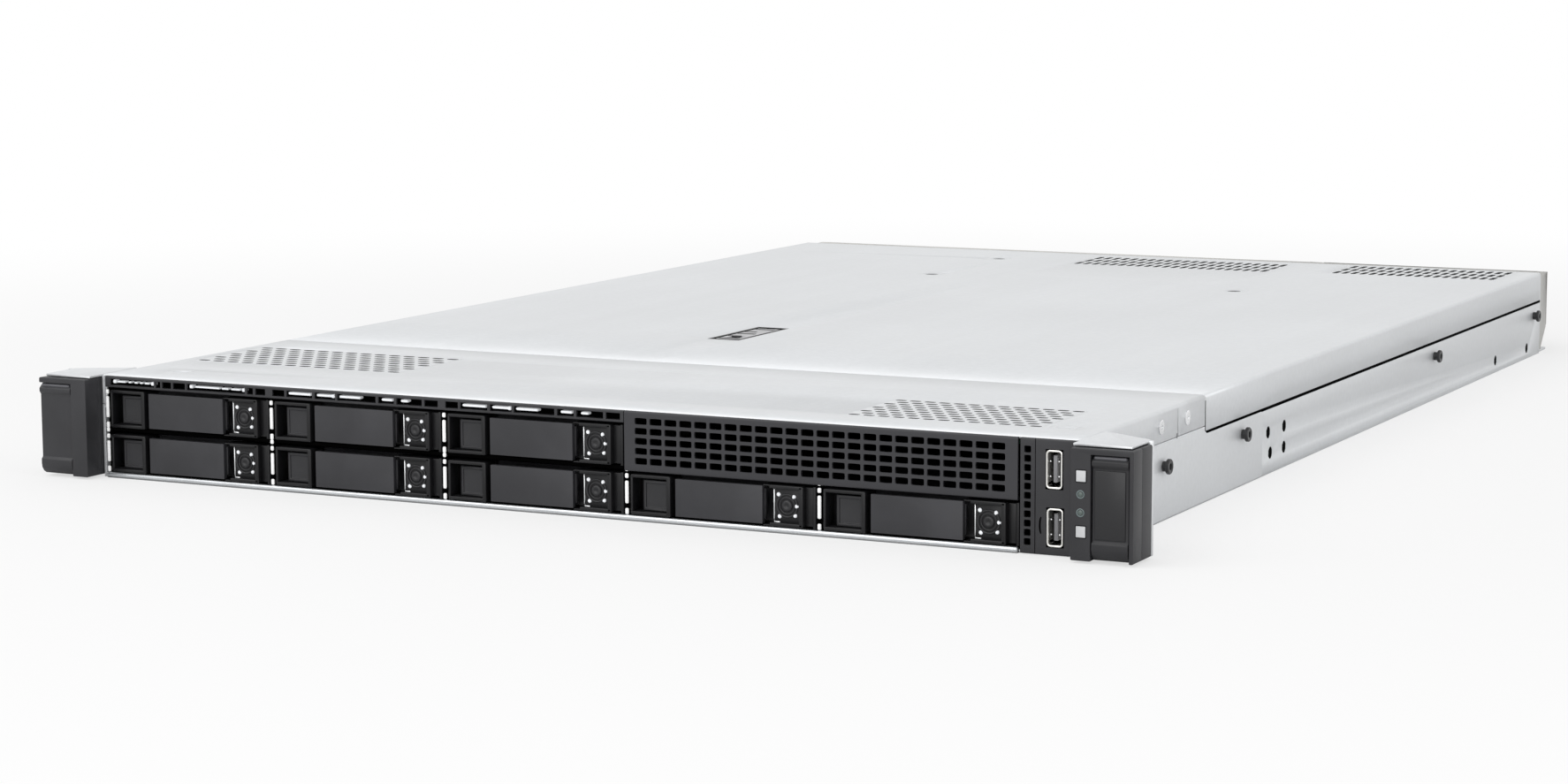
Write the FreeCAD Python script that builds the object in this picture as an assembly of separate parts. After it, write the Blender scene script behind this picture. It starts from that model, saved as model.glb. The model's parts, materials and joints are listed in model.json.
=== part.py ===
"""One-unit rack server: chassis, covers, eight drive carriers, ears, fans, board and power supplies.

All lengths are millimetres.  X runs to the right as the server is seen from the front, Y runs from the
front to the back and Z runs up.  The parts are drawn with Y = 0 at the front edge of the chassis and
Z = 0 under its bottom sheet; export() moves them so that the origin is under the middle of the server.
"""
import FreeCAD, Part
import math
import os

Vec = FreeCAD.Vector

# ---------------------------------------------------------------- driving sizes
BODY_WIDTH = 434.6          # chassis width between the side faces
BODY_HEIGHT = 42.9          # chassis height, one rack unit less its clearance
EAR_WIDTH = 24.0            # ear beyond the chassis side, which makes the standard rack width
WALL_REAR = 664.0           # where the side walls and the main cover end
REAR_FLANGE = 20.0          # from there to the outer face of the rear panel
REAR_ROOF = 0.9             # sheet of its top flange
REAR_CORNER = 12.0          # cut-away lower corners at the rear
VENT_BARS_X = -53.3         # where the grille in the rear wall begins
VENT_BARS_Z = (5.0, 18.0)
VENT_BAR_COUNT = 10
VENT_BAR_PITCH = 7.0
VENT_BAR = 2.0
GRILLE_RIM = 1.5
EAR_FRONT = -9.3            # front face of the ears
RACK_HOLE_EDGE = 8.75       # from the ear's outer edge to the rack's column of holes
RACK_HOLE_Z = 21.8          # middle rack hole of the unit
RACK_HOLE_R = 3.3           # clears an M6 rack screw

SHEET = 1.2                 # chassis steel
COVER_SHEET = 1.0           # cover steel
GAP = 0.3                   # clearance between neighbouring pieces
RUN = 0.05                  # radial clearance of a pin in its bore

FACE_Y = 0.2                # front face of the bezel, the bay panel and the port panel
FACE_SHEET = 1.2            # their thickness
FACE_TOP = 42.5             # their upper edge

SEAM_Y = 134.0              # joint between the front cover and the main cover
SEAM_GAP = 0.8
FRONT_FLANGE_Z = 30.6       # lower edge of the front cover's side flange
MAIN_FLANGE_Z = 28.3        # lower edge of the main cover's side flange
MAIN_LEDGE_Z = 27.1         # ledge of the side wall under that flange
FLANGE_SLIT_Y = 102.6       # slit in the front cover's side flange

SILL_HEIGHT = 2.1           # rounded hem under the drive bays
SILL_DEPTH = 9.0

SPOOL_Y = (86.0, 178.4, 460.4, 650.1)
SPOOL_Z = 21.3
SPOOL_NECK_R = 2.0
SPOOL_HEAD_R = 3.0
SPOOL_NECK = 2.0
SPOOL_HEAD = 1.4

SIDE_HOLE_R = 2.7
SIDE_HOLES = ((212.0, 17.5), (233.0, 17.5), (215.0, 8.6), (233.0, 8.6), (574.3, 6.2), (637.4, 5.5))
SCREW_R = 3.0
SCREW_HEAD = 0.6
SCREW_Z = 36.5
SCREW_Y = (84.0, 113.1)

COLUMN_X = -215.2           # left edge of the first drive column
COLUMN_PITCH = 81.9
COLUMNS = 5
TALL_COLUMNS = 3            # columns that hold two carriers, one above the other
ROW_Z = (2.6, 21.1)         # underside of the carriers in each row
CAGE_SHEET = 1.2
CAGE_WALL_OFFSET = 0.7      # from a column's left edge to its cage wall
CAGE_FRONT = 2.2
CAGE_REAR = 118.7
CAGE_TOP = 38.0
CAGE_ROOF_FRONT = 13.0

CARRIER_OFFSET = 2.5        # from a column's left edge to its carrier
CARRIER_WIDTH = 77.2
CARRIER_HEIGHT = 15.6
CARRIER_FRONT = 0.6
CARRIER_BAR = (7.6, 10.6)   # cross bar of the carrier's bezel
CARRIER_RAIL = 3.3
CARRIER_RAIL_SHEET = 1.0
CARRIER_LEDGE = 2.8
DISK_WIDTH = 69.9
DISK_HEIGHT = 9.5
DISK_LENGTH = 100.2
DISK_FRONT = 11.4
BUTTON_BLOCK = 17.7         # width of the bezel block around the release button
BUTTON_SIDE = (11.5, 12.4)  # opening for the release button
BUTTON_AT = (4.3, 1.2)
BUTTON_FRONT = 3.0
BUTTON_DEPTH = 3.0
BUTTON_POCKET_REAR = 7.5
HANDLE_SPAN = (20.0, 57.0)  # lever handle, across the carrier
HANDLE_MARGIN = 0.6         # above and below the handle
HANDLE_FRONT = 0.2
HANDLE_SHEET = 2.0
HANDLE_PIVOT = (55.6, 3.7)  # across the carrier, behind the front plane
HANDLE_PIN_R = 0.55
KNUCKLE_R = 1.5
LUG_HALF = 0.9
LUG_HEIGHT = 1.7
WINDOW_BLOCK = (60.0, 74.0)
WINDOW_R = 5.0
WINDOW_DEPTH = 1.2

MEDIA_X = (31.0, 193.4)
MEDIA_Z = 19.3
MEDIA_HOLES = (24, 5)
MEDIA_HOLE = (5.3, 2.6)
MEDIA_FIRST = (38.2, 23.4)
MEDIA_PITCH = (6.42, 3.85)

PORT_PANEL_X = (194.4, 216.9)
VENT_X = 197.2
VENT_HOLE = 2.5
VENT_COUNT = 11
VENT_FIRST_Z = 4.6
VENT_PITCH = 3.38
USB_AT = ((207.6, 31.6), (208.0, 10.4))
USB_SHELL = (6.1, 13.5)
USB_LIP = (6.5, 14.2)
USB_DEPTH = 14.0
USB_WALL = 0.5
USB_TONGUE = (1.8, 11.2)
USB_CLEAR = 0.1

EAR_BACK = 10.1             # back of the ear's moulding, front of its steel plate
EAR_PLATE = 1.5
EAR_BOTTOM = 1.0
EAR_STRIP_WIDTH = 7.9       # strip of buttons and lamps between the chassis and the lever
EAR_CHEEK = 1.5
LEVER_TOP = 39.1
LEVER_BACK = -4.0
LEVER_PIVOT = (-4.9, 5.4)
LEVER_ROUND = 4.4
LEVER_PIN_R = 1.2
EAR_BUTTON_INSET = 4.3      # from the chassis side to the middle of a button
EAR_BUTTON = (3.6, 4.0)
EAR_BUTTON_Z = (11.5, 31.6)
EAR_BUTTON_PROUD = 0.3
EAR_BUTTON_LENGTH = 3.4
LIGHT_Z = (18.4, 25.0)
LIGHT_R = 1.3
LIGHT_DEPTH = 1.6

LATCH_X = (-47.0, -31.0)
LATCH_Y = (216.0, 267.0)
LATCH_DEPTH = 5.0
LATCH_WALL = 1.3
LATCH_LEVER_SHEET = 2.2
LATCH_PIN_R = 0.6

FRONT_VENTS = ((-210.0, -107.0, 55.0, 107.0, 12, 2), (113.0, 193.0, 23.0, 71.0, 9, 2))
REAR_VENTS = ((-28.0, 83.5, 607.0, 652.0, 11, 1), (116.0, 205.0, 615.0, 660.0, 9, 1))
DIMPLES = ((-74.8, 526.0), (-75.7, 620.0), (99.5, 510.0))

FAN_COUNT = 7
FAN_BLANKS = (0, 1)
FAN_PITCH = 61.0
FAN_WIDTH = 58.0
FAN_HEIGHT = 38.0
FAN_DEPTH = 28.0
FAN_FRONT = 148.0
FAN_BORE_R = 18.0
FAN_TIP_R = 17.2
FAN_HUB_R = 8.5
FAN_SHAFT_R = 1.5
FAN_BLADES = 5
FAN_MOTOR = 4.0
FAN_CHORD = 11.0
FAN_BLADE_SHEET = 1.2
FAN_BLADE_PITCH = 42.0

BOARD_Z = 4.2
BOARD_SHEET = 1.6
BOARD_FRONT = 212.0
BOARD_STEP_Y = 488.0
BOARD_REAR = 672.0
BOARD_LEFT = -65.3
BOARD_HALF = 212.0
SOCKET_X = (-90.0, 90.0)
SOCKET_Y = 350.0
SINK_SIZE = (78.0, 108.0, 26.0)
SINK_FINS = 18
DIMM_PER_SIDE = 6
DIMM_PITCH = 8.0
DIMM_LENGTH = 133.4
DIMM_HEIGHT = 31.2
DIMM_SHEET = 1.4
DIMM_SLOT = (6.0, 142.0, 7.0)
DIMM_SEAT = 2.5
DIMM_CLEAR = 0.2
BAFFLE_Y = (284.0, 424.0)
BAFFLE_SHEET = 0.8

PSU_WIDTH = 68.4
PSU_HEIGHT = 38.7
PSU_LENGTH = 188.0
PSU_LEFT = -207.3
PSU_PITCH = 69.0
PSU_REACH = 14.0            # how far the bail handles stand out behind the rear panel
PSU_INLET = (25.0, 17.0, 16.0)  # power inlet: width, height and depth
TAB = (7.0, 12.0, 12.0)     # release tab of a power supply
BAIL = (26.0, 2.6)          # width and bar of its bail handle

JACK_FIRST_X = 126.0        # row of network jacks, and the single one beside it
JACK_PITCH = 16.0
JACK_SINGLE_X = 103.0
JACK = (15.0, 13.2, 21.0)
JACK_HOLE = (11.8, 8.4, 13.0)
JACK_FLOOR = 3.6            # under the mouth of a jack
VIDEO_X = 40.0              # video port
VIDEO = (31.0, 12.5, 10.0)
REAR_USB_X = 76.0           # rear USB ports, one above the other
REAR_USB = (14.2, 15.6, 18.0)

SLOT_Z = (23.4, 40.4)       # expansion slots
SLOT_ONE = (92.0, 210.0)
SLOT_TWO = (-56.3, 84.0)
RISER_LENGTH = 144.0        # card bracket, forward of the rear panel
CARD_CHIP = (35.0, 35.0, 9.0)
CARD_CHIP_AT = (55.5, 67.5)  # its middle from the first slot's left edge and the bracket's front
BATTERY_AT = (20.0, 580.0)
BATTERY = (10.0, 3.6)       # radius and height

HALF = BODY_WIDTH / 2
EAR_SPAN = BODY_WIDTH + 2 * EAR_WIDTH
PANEL_REAR = WALL_REAR + REAR_FLANGE
RACK_HOLE_SPAN = EAR_SPAN - 2 * RACK_HOLE_EDGE
EAR_STRIP = HALF + EAR_STRIP_WIDTH           # inner edge of the lever's cavity
EAR_BUTTON_X = HALF + EAR_BUTTON_INSET
REAR_JACKS = tuple(JACK_FIRST_X + JACK_PITCH * k for k in range(4)) + (JACK_SINGLE_X,)
COVER_UNDER = BODY_HEIGHT - COVER_SHEET
WALL_TOP = COVER_UNDER - GAP
INNER_WALL = HALF - COVER_SHEET - GAP       # outer face of the side wall behind the cover's flange
CAGE_FLOOR = ROW_Z[0] - GAP
DEPTH_CENTRE = (EAR_FRONT - EAR_BUTTON_PROUD + PANEL_REAR + PSU_REACH) / 2


# ---------------------------------------------------------------- helpers
def export(name, *solids):
    """Write one sub-part, moved so that the origin is under the middle of the server."""
    shape = solids[0] if len(solids) == 1 else Part.makeCompound(list(solids))
    shape.translated(Vec(0, -DEPTH_CENTRE, 0)).exportStep("parts/" + name + ".step")


def block(x, y, z):
    """Box between the pairs of limits x, y and z."""
    size = (x[1] - x[0], y[1] - y[0], z[1] - z[0])
    return Part.makeBox(size[0], size[1], size[2], Vec(x[0], y[0], z[0]))


def around(centre, size):
    """Pair of limits that lie evenly about a centre."""
    return (centre - size / 2, centre + size / 2)


def prism(points, axis, start, end):
    """Extrude a polygon along an axis; points are the other two coordinates in X, Y, Z order."""
    def place(a, b):
        return {"x": Vec(start, a, b), "y": Vec(a, start, b), "z": Vec(a, b, start)}[axis]
    loop = [place(*point) for point in points]
    face = Part.Face(Part.makePolygon(loop + loop[:1]))
    travel = end - start
    return face.extrude({"x": Vec(travel, 0, 0), "y": Vec(0, travel, 0), "z": Vec(0, 0, travel)}[axis])


def disc_prism(radius, sides, centre, axis, start, end):
    """Regular prism with the given number of sides."""
    turn = math.pi / sides
    points = [(centre[0] + radius * math.cos(turn + 2 * turn * k),
               centre[1] + radius * math.sin(turn + 2 * turn * k)) for k in range(sides)]
    return prism(points, axis, start, end)


def rod(radius, axis, centre, start, end):
    """Cylinder along an axis; centre is the other two coordinates."""
    base, way = {"x": (Vec(start, centre[0], centre[1]), Vec(1, 0, 0)),
                 "y": (Vec(centre[0], start, centre[1]), Vec(0, 1, 0)),
                 "z": (Vec(centre[0], centre[1], start), Vec(0, 0, 1))}[axis]
    return Part.makeCylinder(radius, end - start, base, way)


def bore(radius, axis, centre, start, end):
    """Octagonal hole whose flats touch a circle of the given radius, to run around a round pin."""
    return disc_prism(radius / math.cos(math.pi / 8), 8, centre, axis, start, end)


def fuse(first, *others):
    return first.multiFuse(list(others)).removeSplitter()


def carve(shape, *tools):
    return shape.cut(list(tools))


def mirrored(shape):
    """The same piece on the other side of the server."""
    return shape.mirror(Vec(0, 0, 0), Vec(1, 0, 0))


def both_sides(shape):
    return (shape, mirrored(shape))


def arc_wire(points):
    """Closed wire from (kind, points) runs: a line joins each run's end to the next run's start."""
    edges = []
    last = points[-1][-1]
    for run in points:
        if (run[0] - last).Length > 1e-6:
            edges.append(Part.LineSegment(last, run[0]).toShape())
        if len(run) == 3:
            edges.append(Part.Arc(run[0], run[1], run[2]).toShape())
        last = run[-1]
    return Part.Wire(edges)


# ---------------------------------------------------------------- chassis tray
def wall_profile(ledge):
    """Bottom and both side walls; each wall steps inward at the ledge to clear the cover's flange."""
    right = [(HALF, 0), (HALF, ledge), (INNER_WALL, ledge), (INNER_WALL, WALL_TOP),
             (INNER_WALL - SHEET, WALL_TOP), (INNER_WALL - SHEET, ledge - SHEET),
             (HALF - SHEET, ledge - SHEET), (HALF - SHEET, SHEET)]
    left = [(-x, z) for x, z in reversed(right)]
    return right + left


def chassis_tray():
    start = FACE_Y + FACE_SHEET + GAP
    front = prism(wall_profile(FRONT_FLANGE_Z - GAP), "y", start, SEAM_Y)
    main = prism(wall_profile(MAIN_LEDGE_Z), "y", SEAM_Y, WALL_REAR)
    tail = block((SHEET - HALF, HALF - SHEET), (WALL_REAR, PANEL_REAR - SHEET - GAP), (0, SHEET))
    nose = SILL_HEIGHT / 2
    sill_right = COLUMN_X + COLUMN_PITCH * COLUMNS - SHEET
    hem = arc_wire([(Vec(COLUMN_X, SILL_DEPTH, 0),), (Vec(COLUMN_X, nose, 0),
                    Vec(COLUMN_X, 0, nose), Vec(COLUMN_X, nose, SILL_HEIGHT)),
                    (Vec(COLUMN_X, CAGE_FRONT - GAP, SILL_HEIGHT),),
                    (Vec(COLUMN_X, CAGE_FRONT - GAP, SHEET),), (Vec(COLUMN_X, SILL_DEPTH, SHEET),)])
    sill = Part.Face(hem).extrude(Vec(sill_right - COLUMN_X, 0, 0))
    posts = [disc_prism(3.0, 6, (x, y), "z", SHEET, BOARD_Z)
             for x in (-190.0, -20.0, 20.0, 190.0) for y in (BOARD_FRONT + 8, BOARD_STEP_Y - 12)]
    tray = fuse(front, main, tail, sill, *posts)
    holes = [disc_prism(SIDE_HOLE_R, 8, at, "x", side * HALF - 2 * SHEET, side * HALF + 2 * SHEET)
             for at in SIDE_HOLES for side in (-1, 1)]
    return carve(tray, *holes)


# ---------------------------------------------------------------- covers
def vent_slots(field):
    """Columns of slots over a rectangle of the cover, each broken into rows by narrow bridges."""
    x0, x1, y0, y1, columns, rows = field
    pitch = (x1 - x0) / columns
    length = (y1 - y0) / rows
    tools = []
    for column in range(columns):
        centre = x0 + pitch * (column + 0.5)
        for row in range(rows):
            low = y0 + length * row
            tools.append(block(around(centre, pitch * 0.5), (low + 2.0, low + length - 2.0),
                               (COVER_UNDER - 1, BODY_HEIGHT + 1)))
    return tools


def cover_profile(flange_z):
    """Top sheet with a flange down each side."""
    inner = HALF - COVER_SHEET
    right = [(HALF, flange_z), (HALF, BODY_HEIGHT), (-HALF, BODY_HEIGHT), (-HALF, flange_z)]
    return right + [(-inner, flange_z), (-inner, COVER_UNDER), (inner, COVER_UNDER), (inner, flange_z)]


def front_cover():
    start = FACE_Y + FACE_SHEET + GAP
    cover = prism(cover_profile(FRONT_FLANGE_Z), "y", start, SEAM_Y - SEAM_GAP / 2)
    slits = [block(around(side * HALF, 2 * COVER_SHEET), around(FLANGE_SLIT_Y, SEAM_GAP),
                   (FRONT_FLANGE_Z - 1, COVER_UNDER - 1)) for side in (-1, 1)]
    vents = [slot for field in FRONT_VENTS for slot in vent_slots(field)]
    return carve(cover, *slits, *vents)


def main_cover():
    cover = prism(cover_profile(MAIN_FLANGE_Z), "y", SEAM_Y + SEAM_GAP / 2, WALL_REAR)
    vents = [slot for field in REAR_VENTS for slot in vent_slots(field)]
    dimples = [block(around(x, 8.4), around(y, 3.0), (COVER_UNDER - 1, BODY_HEIGHT + 1)) for x, y in DIMPLES]
    recess = block((LATCH_X[0] - GAP, LATCH_X[1] + GAP), (LATCH_Y[0] - GAP, LATCH_Y[1] + GAP),
                   (COVER_UNDER - 1, BODY_HEIGHT + 1))
    return carve(cover, recess, *vents, *dimples)


def latch_pivot():
    return (LATCH_Y[1] - LATCH_WALL - 2.6, BODY_HEIGHT - 0.2 - LATCH_LEVER_SHEET / 2)


def cover_latch_frame():
    """Moulded tub let into the main cover; its rim under the sheet hangs it there."""
    low = BODY_HEIGHT - LATCH_DEPTH
    tub = block(LATCH_X, LATCH_Y, (low, BODY_HEIGHT))
    rim = block((LATCH_X[0] - 2, LATCH_X[1] + 2), (LATCH_Y[0] - 2, LATCH_Y[1] + 2),
                (COVER_UNDER - 1.2, COVER_UNDER))
    hollow = block((LATCH_X[0] + LATCH_WALL, LATCH_X[1] - LATCH_WALL),
                   (LATCH_Y[0] + LATCH_WALL, LATCH_Y[1] - LATCH_WALL), (low + 0.8, BODY_HEIGHT + 1))
    pin = rod(LATCH_PIN_R, "x", latch_pivot(), LATCH_X[0] + 0.5, LATCH_X[1] - 0.5)
    return fuse(carve(fuse(tub, rim), hollow), pin)


def cover_latch_lever():
    """Flat lever whose rear end is rounded about its pin."""
    y, z = latch_pivot()
    half = LATCH_LEVER_SHEET / 2
    x = LATCH_X[0] + LATCH_WALL + GAP
    front = LATCH_Y[0] + LATCH_WALL + GAP
    side = arc_wire([(Vec(x, y, z - half), Vec(x, y + half, z), Vec(x, y, z + half)),
                     (Vec(x, front, z + half),), (Vec(x, front, z),), (Vec(x, front + 4, z - half),)])
    lever = Part.Face(side).extrude(Vec(LATCH_X[1] - LATCH_WALL - GAP - x, 0, 0))
    grip = block(around((LATCH_X[0] + LATCH_X[1]) / 2, 7.0), (front + 8, front + 16), (z + 0.3, z + half + 1))
    return carve(lever, bore(LATCH_PIN_R + RUN, "x", (y, z), x - 1, -x), grip)


# ---------------------------------------------------------------- front faces
def bay_bezel():
    """Strip above the two-row columns: a face with small windows and a flange under the cover."""
    right = MEDIA_X[0] - GAP
    low = CAGE_TOP - 0.2
    inner = FACE_Y + FACE_SHEET
    section = [(FACE_Y, low), (FACE_Y, FACE_TOP), (inner, FACE_TOP), (inner, WALL_TOP), (12.0, WALL_TOP),
               (12.0, WALL_TOP - SHEET), (inner, WALL_TOP - SHEET), (inner, low)]
    strip = prism(section, "x", SHEET + GAP - INNER_WALL, right)
    windows = []
    for column in range(TALL_COLUMNS):
        for index in range(5):
            centre = COLUMN_X + COLUMN_PITCH * column + 11.5 + index * 15.2
            windows.append(block(around(centre, 12.4), (FACE_Y - 1, inner + 1), (low + 0.8, low + 3.0)))
    return carve(strip, *windows)


def media_bay_panel():
    """Blanking panel of the media bay: a perforated face with a return flange under the cover."""
    inner = FACE_Y + FACE_SHEET
    section = [(FACE_Y, MEDIA_Z), (FACE_Y, FACE_TOP), (inner, FACE_TOP), (inner, WALL_TOP), (14.0, WALL_TOP),
               (14.0, WALL_TOP - SHEET), (inner, WALL_TOP - SHEET), (inner, MEDIA_Z)]
    panel = prism(section, "x", *MEDIA_X)
    holes = [block(around(MEDIA_FIRST[0] + MEDIA_PITCH[0] * i, MEDIA_HOLE[0]), (FACE_Y - 1, inner + 1),
                   around(MEDIA_FIRST[1] + MEDIA_PITCH[1] * j, MEDIA_HOLE[1]))
             for i in range(MEDIA_HOLES[0]) for j in range(MEDIA_HOLES[1])]
    return carve(panel, *holes)


def port_panel():
    """Vent strip and port plate in one face, with a flange back along the side wall."""
    inner = FACE_Y + FACE_SHEET
    face = block(PORT_PANEL_X, (FACE_Y, inner), (GAP, FACE_TOP))
    wall = HALF - SHEET - COVER_SHEET - 2 * GAP - SHEET
    flange = block((wall, wall + SHEET), (FACE_Y, 20.0), (SHEET + GAP, WALL_TOP))
    vents = [block(around(VENT_X, VENT_HOLE), (FACE_Y - 1, inner + 1),
                   around(VENT_FIRST_Z + VENT_PITCH * k, VENT_HOLE)) for k in range(VENT_COUNT)]
    ports = [block(around(x, USB_SHELL[0] + 2 * USB_CLEAR), (FACE_Y - 1, inner + 1),
                   around(z, USB_SHELL[1] + 2 * USB_CLEAR)) for x, z in USB_AT]
    return carve(fuse(face, flange), *vents, *ports)


def usb_ports():
    """Two upright ports: a drawn shell with a lip, and the contact tongue on its back wall."""
    solids = []
    for x, z in USB_AT:
        shell = block(around(x, USB_SHELL[0]), (FACE_Y, USB_DEPTH), around(z, USB_SHELL[1]))
        lip = block(around(x, USB_LIP[0]), (FACE_Y - 0.3, FACE_Y), around(z, USB_LIP[1]))
        hollow = block(around(x, USB_SHELL[0] - 2 * USB_WALL), (FACE_Y - 1, USB_DEPTH - USB_WALL),
                       around(z, USB_SHELL[1] - 2 * USB_WALL))
        tongue = block(around(x - 0.6, USB_TONGUE[0]), (FACE_Y + 1.5, USB_DEPTH - USB_WALL),
                       around(z, USB_TONGUE[1]))
        solids += [carve(fuse(shell, lip), hollow), tongue]
    return solids


# ---------------------------------------------------------------- drive cage, carriers
def column_left(column):
    return COLUMN_X + COLUMN_PITCH * column


def cage_walls():
    """Left faces of the cage walls, one at each column and one at the end."""
    return [column_left(k) + CAGE_WALL_OFFSET for k in range(COLUMNS + 1)]


def drive_cage():
    walls = cage_walls()
    right = walls[-1] + CAGE_SHEET
    shelf_top = ROW_Z[1] - GAP
    floor = block((walls[0], right), (CAGE_FRONT, CAGE_REAR), (SHEET, CAGE_FLOOR))
    shelf = block((walls[0], right), (CAGE_FRONT, CAGE_REAR), (shelf_top - CAGE_SHEET, shelf_top))
    roof = block((walls[0], walls[TALL_COLUMNS] + CAGE_SHEET), (CAGE_ROOF_FRONT, CAGE_REAR),
                 (CAGE_TOP - CAGE_SHEET, CAGE_TOP))
    uprights = []
    for index, left in enumerate(walls):
        low_one = TALL_COLUMNS < index < COLUMNS
        top = shelf_top if low_one else CAGE_TOP
        uprights.append(block((left, left + CAGE_SHEET), (CAGE_FRONT, CAGE_REAR), (SHEET, top)))
    cage = fuse(floor, shelf, roof, *uprights)
    windows = [block((walls[0] - 1, right + 1), (24.0, 104.0), (low + 5.0, low + 11.0)) for low in ROW_Z]
    return carve(cage, *windows)


def drive_backplane():
    """Board behind the cage with one connector for each drive and air slots between them."""
    front = CAGE_REAR + GAP
    walls = cage_walls()
    board = block((walls[0], walls[-1]), (front, front + BOARD_SHEET), (SHEET + GAP, WALL_TOP - 2))
    slots = [block((column_left(k) + x, column_left(k) + x + 14.0), (front - 1, front + BOARD_SHEET + 1),
                   (6.0, 33.0)) for k in range(COLUMNS) for x in (8.0, 60.0)]
    solids = [carve(board, *slots)]
    disk_rear = DISK_FRONT + DISK_LENGTH
    for column, row in bays():
        centre = column_left(column) + CARRIER_OFFSET + CARRIER_WIDTH / 2
        low = ROW_Z[row] + CARRIER_LEDGE
        solids.append(block(around(centre, 34.0), (disk_rear + GAP, front), (low + 1.0, low + 6.0)))
    return solids


def bays():
    """Column and row of each drive, upper row first, as the bays are numbered."""
    upper = [(column, 1) for column in range(TALL_COLUMNS)]
    return upper + [(column, 0) for column in range(COLUMNS)]


def carrier_bezel(high):
    """Moulded front of a carrier, with its left lower corner at the origin.

    Seen from above it is a comb: a cross bar with the button's block, the window's block and an end post
    standing forward of it, and air slots between.
    """
    bar_front, bar_rear = CARRIER_BAR
    front = CARRIER_FRONT
    w0, w1 = WINDOW_BLOCK
    comb = [(0, front), (BUTTON_BLOCK, front), (BUTTON_BLOCK, bar_front), (w0, bar_front), (w0, HANDLE_FRONT),
            (w1, HANDLE_FRONT), (w1, bar_front), (CARRIER_WIDTH - 1.4, bar_front),
            (CARRIER_WIDTH - 1.4, front), (CARRIER_WIDTH, front), (CARRIER_WIDTH, bar_rear), (0, bar_rear)]
    bezel = prism(comb, "z", 0, high)
    pivot_x, pivot_y = HANDLE_PIVOT
    lugs = [block(around(pivot_x, 2 * LUG_HALF), (pivot_y - LUG_HALF, bar_front), span)
            for span in ((HANDLE_MARGIN / 2, LUG_HEIGHT), (high - LUG_HEIGHT, high - HANDLE_MARGIN / 2))]
    bx, bz = BUTTON_AT
    pocket = block((bx, bx + BUTTON_SIDE[0]), (front - 1, BUTTON_POCKET_REAR), (bz, bz + BUTTON_SIDE[1]))
    centre = ((w0 + w1) / 2, high / 2)
    window = disc_prism(WINDOW_R, 8, centre, "y", HANDLE_FRONT - 1, HANDLE_FRONT + WINDOW_DEPTH)
    air = block((24.0, 50.0), (bar_front - 1, bar_rear + 1), (3.0, high - 3.0))
    return carve(fuse(bezel, *lugs), pocket, window, air)


def drive_carrier():
    """Bezel, two rails with ledges, the drive on the ledges, the handle's pin and the window's lens."""
    high = CARRIER_HEIGHT
    rear = DISK_FRONT + DISK_LENGTH
    ledge = [(0, 0), (CARRIER_RAIL + 1.2, 0), (CARRIER_RAIL + 1.2, CARRIER_LEDGE),
             (CARRIER_RAIL_SHEET, CARRIER_LEDGE), (CARRIER_RAIL_SHEET, high), (0, high)]
    left = prism(ledge, "y", CARRIER_BAR[1], rear)
    right = prism([(CARRIER_WIDTH - x, z) for x, z in ledge], "y", CARRIER_BAR[1], rear)
    frame = fuse(carrier_bezel(high), left, right)
    disk = block(around(CARRIER_WIDTH / 2, DISK_WIDTH), (DISK_FRONT, rear),
                 (CARRIER_LEDGE, CARRIER_LEDGE + DISK_HEIGHT))
    pin = rod(HANDLE_PIN_R, "z", HANDLE_PIVOT, LUG_HEIGHT, high - LUG_HEIGHT)
    centre = (sum(WINDOW_BLOCK) / 2, high / 2)
    lens = disc_prism(WINDOW_R - 1.2, 8, centre, "y", HANDLE_FRONT + 0.3, HANDLE_FRONT + WINDOW_DEPTH)
    return [frame, disk, pin, lens]


def drive_handle():
    """Lever handle: a flat plate with a catch at its free end and a knuckle around the carrier's pin."""
    low, high = HANDLE_MARGIN, CARRIER_HEIGHT - HANDLE_MARGIN
    back = HANDLE_FRONT + HANDLE_SHEET
    x0, x1 = HANDLE_SPAN
    plate = block((x0, x1), (HANDLE_FRONT, back), (low, high))
    pivot_x, pivot_y = HANDLE_PIVOT
    knuckle_z = (LUG_HEIGHT + GAP, CARRIER_HEIGHT - LUG_HEIGHT - GAP)
    knuckle = disc_prism(KNUCKLE_R, 8, HANDLE_PIVOT, "z", *knuckle_z)
    web = block((pivot_x - KNUCKLE_R, pivot_x), (back - 0.5, pivot_y), knuckle_z)
    catch = prism([(x0 + 0.8, back - 0.5), (x0 + 3.0, back - 0.5), (x0 + 2.2, back + 3.0), (x0 + 0.8, back + 3.0)],
                  "z", 5.0, 10.6)
    return carve(fuse(plate, knuckle, web, catch), bore(HANDLE_PIN_R + RUN, "z", HANDLE_PIVOT, 0, CARRIER_HEIGHT))


def drive_button():
    """Square release button with a shallow dished face."""
    x0, z0 = BUTTON_AT[0] + GAP, BUTTON_AT[1] + GAP
    x1, z1 = BUTTON_AT[0] + BUTTON_SIDE[0] - GAP, BUTTON_AT[1] + BUTTON_SIDE[1] - GAP
    button = block((x0, x1), (BUTTON_FRONT, BUTTON_FRONT + BUTTON_DEPTH), (z0, z1))
    dish = block((x0 + 1.2, x1 - 1.2), (BUTTON_FRONT - 1, BUTTON_FRONT + 0.5), (z0 + 1.2, z1 - 1.2))
    return carve(button, dish)


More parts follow.
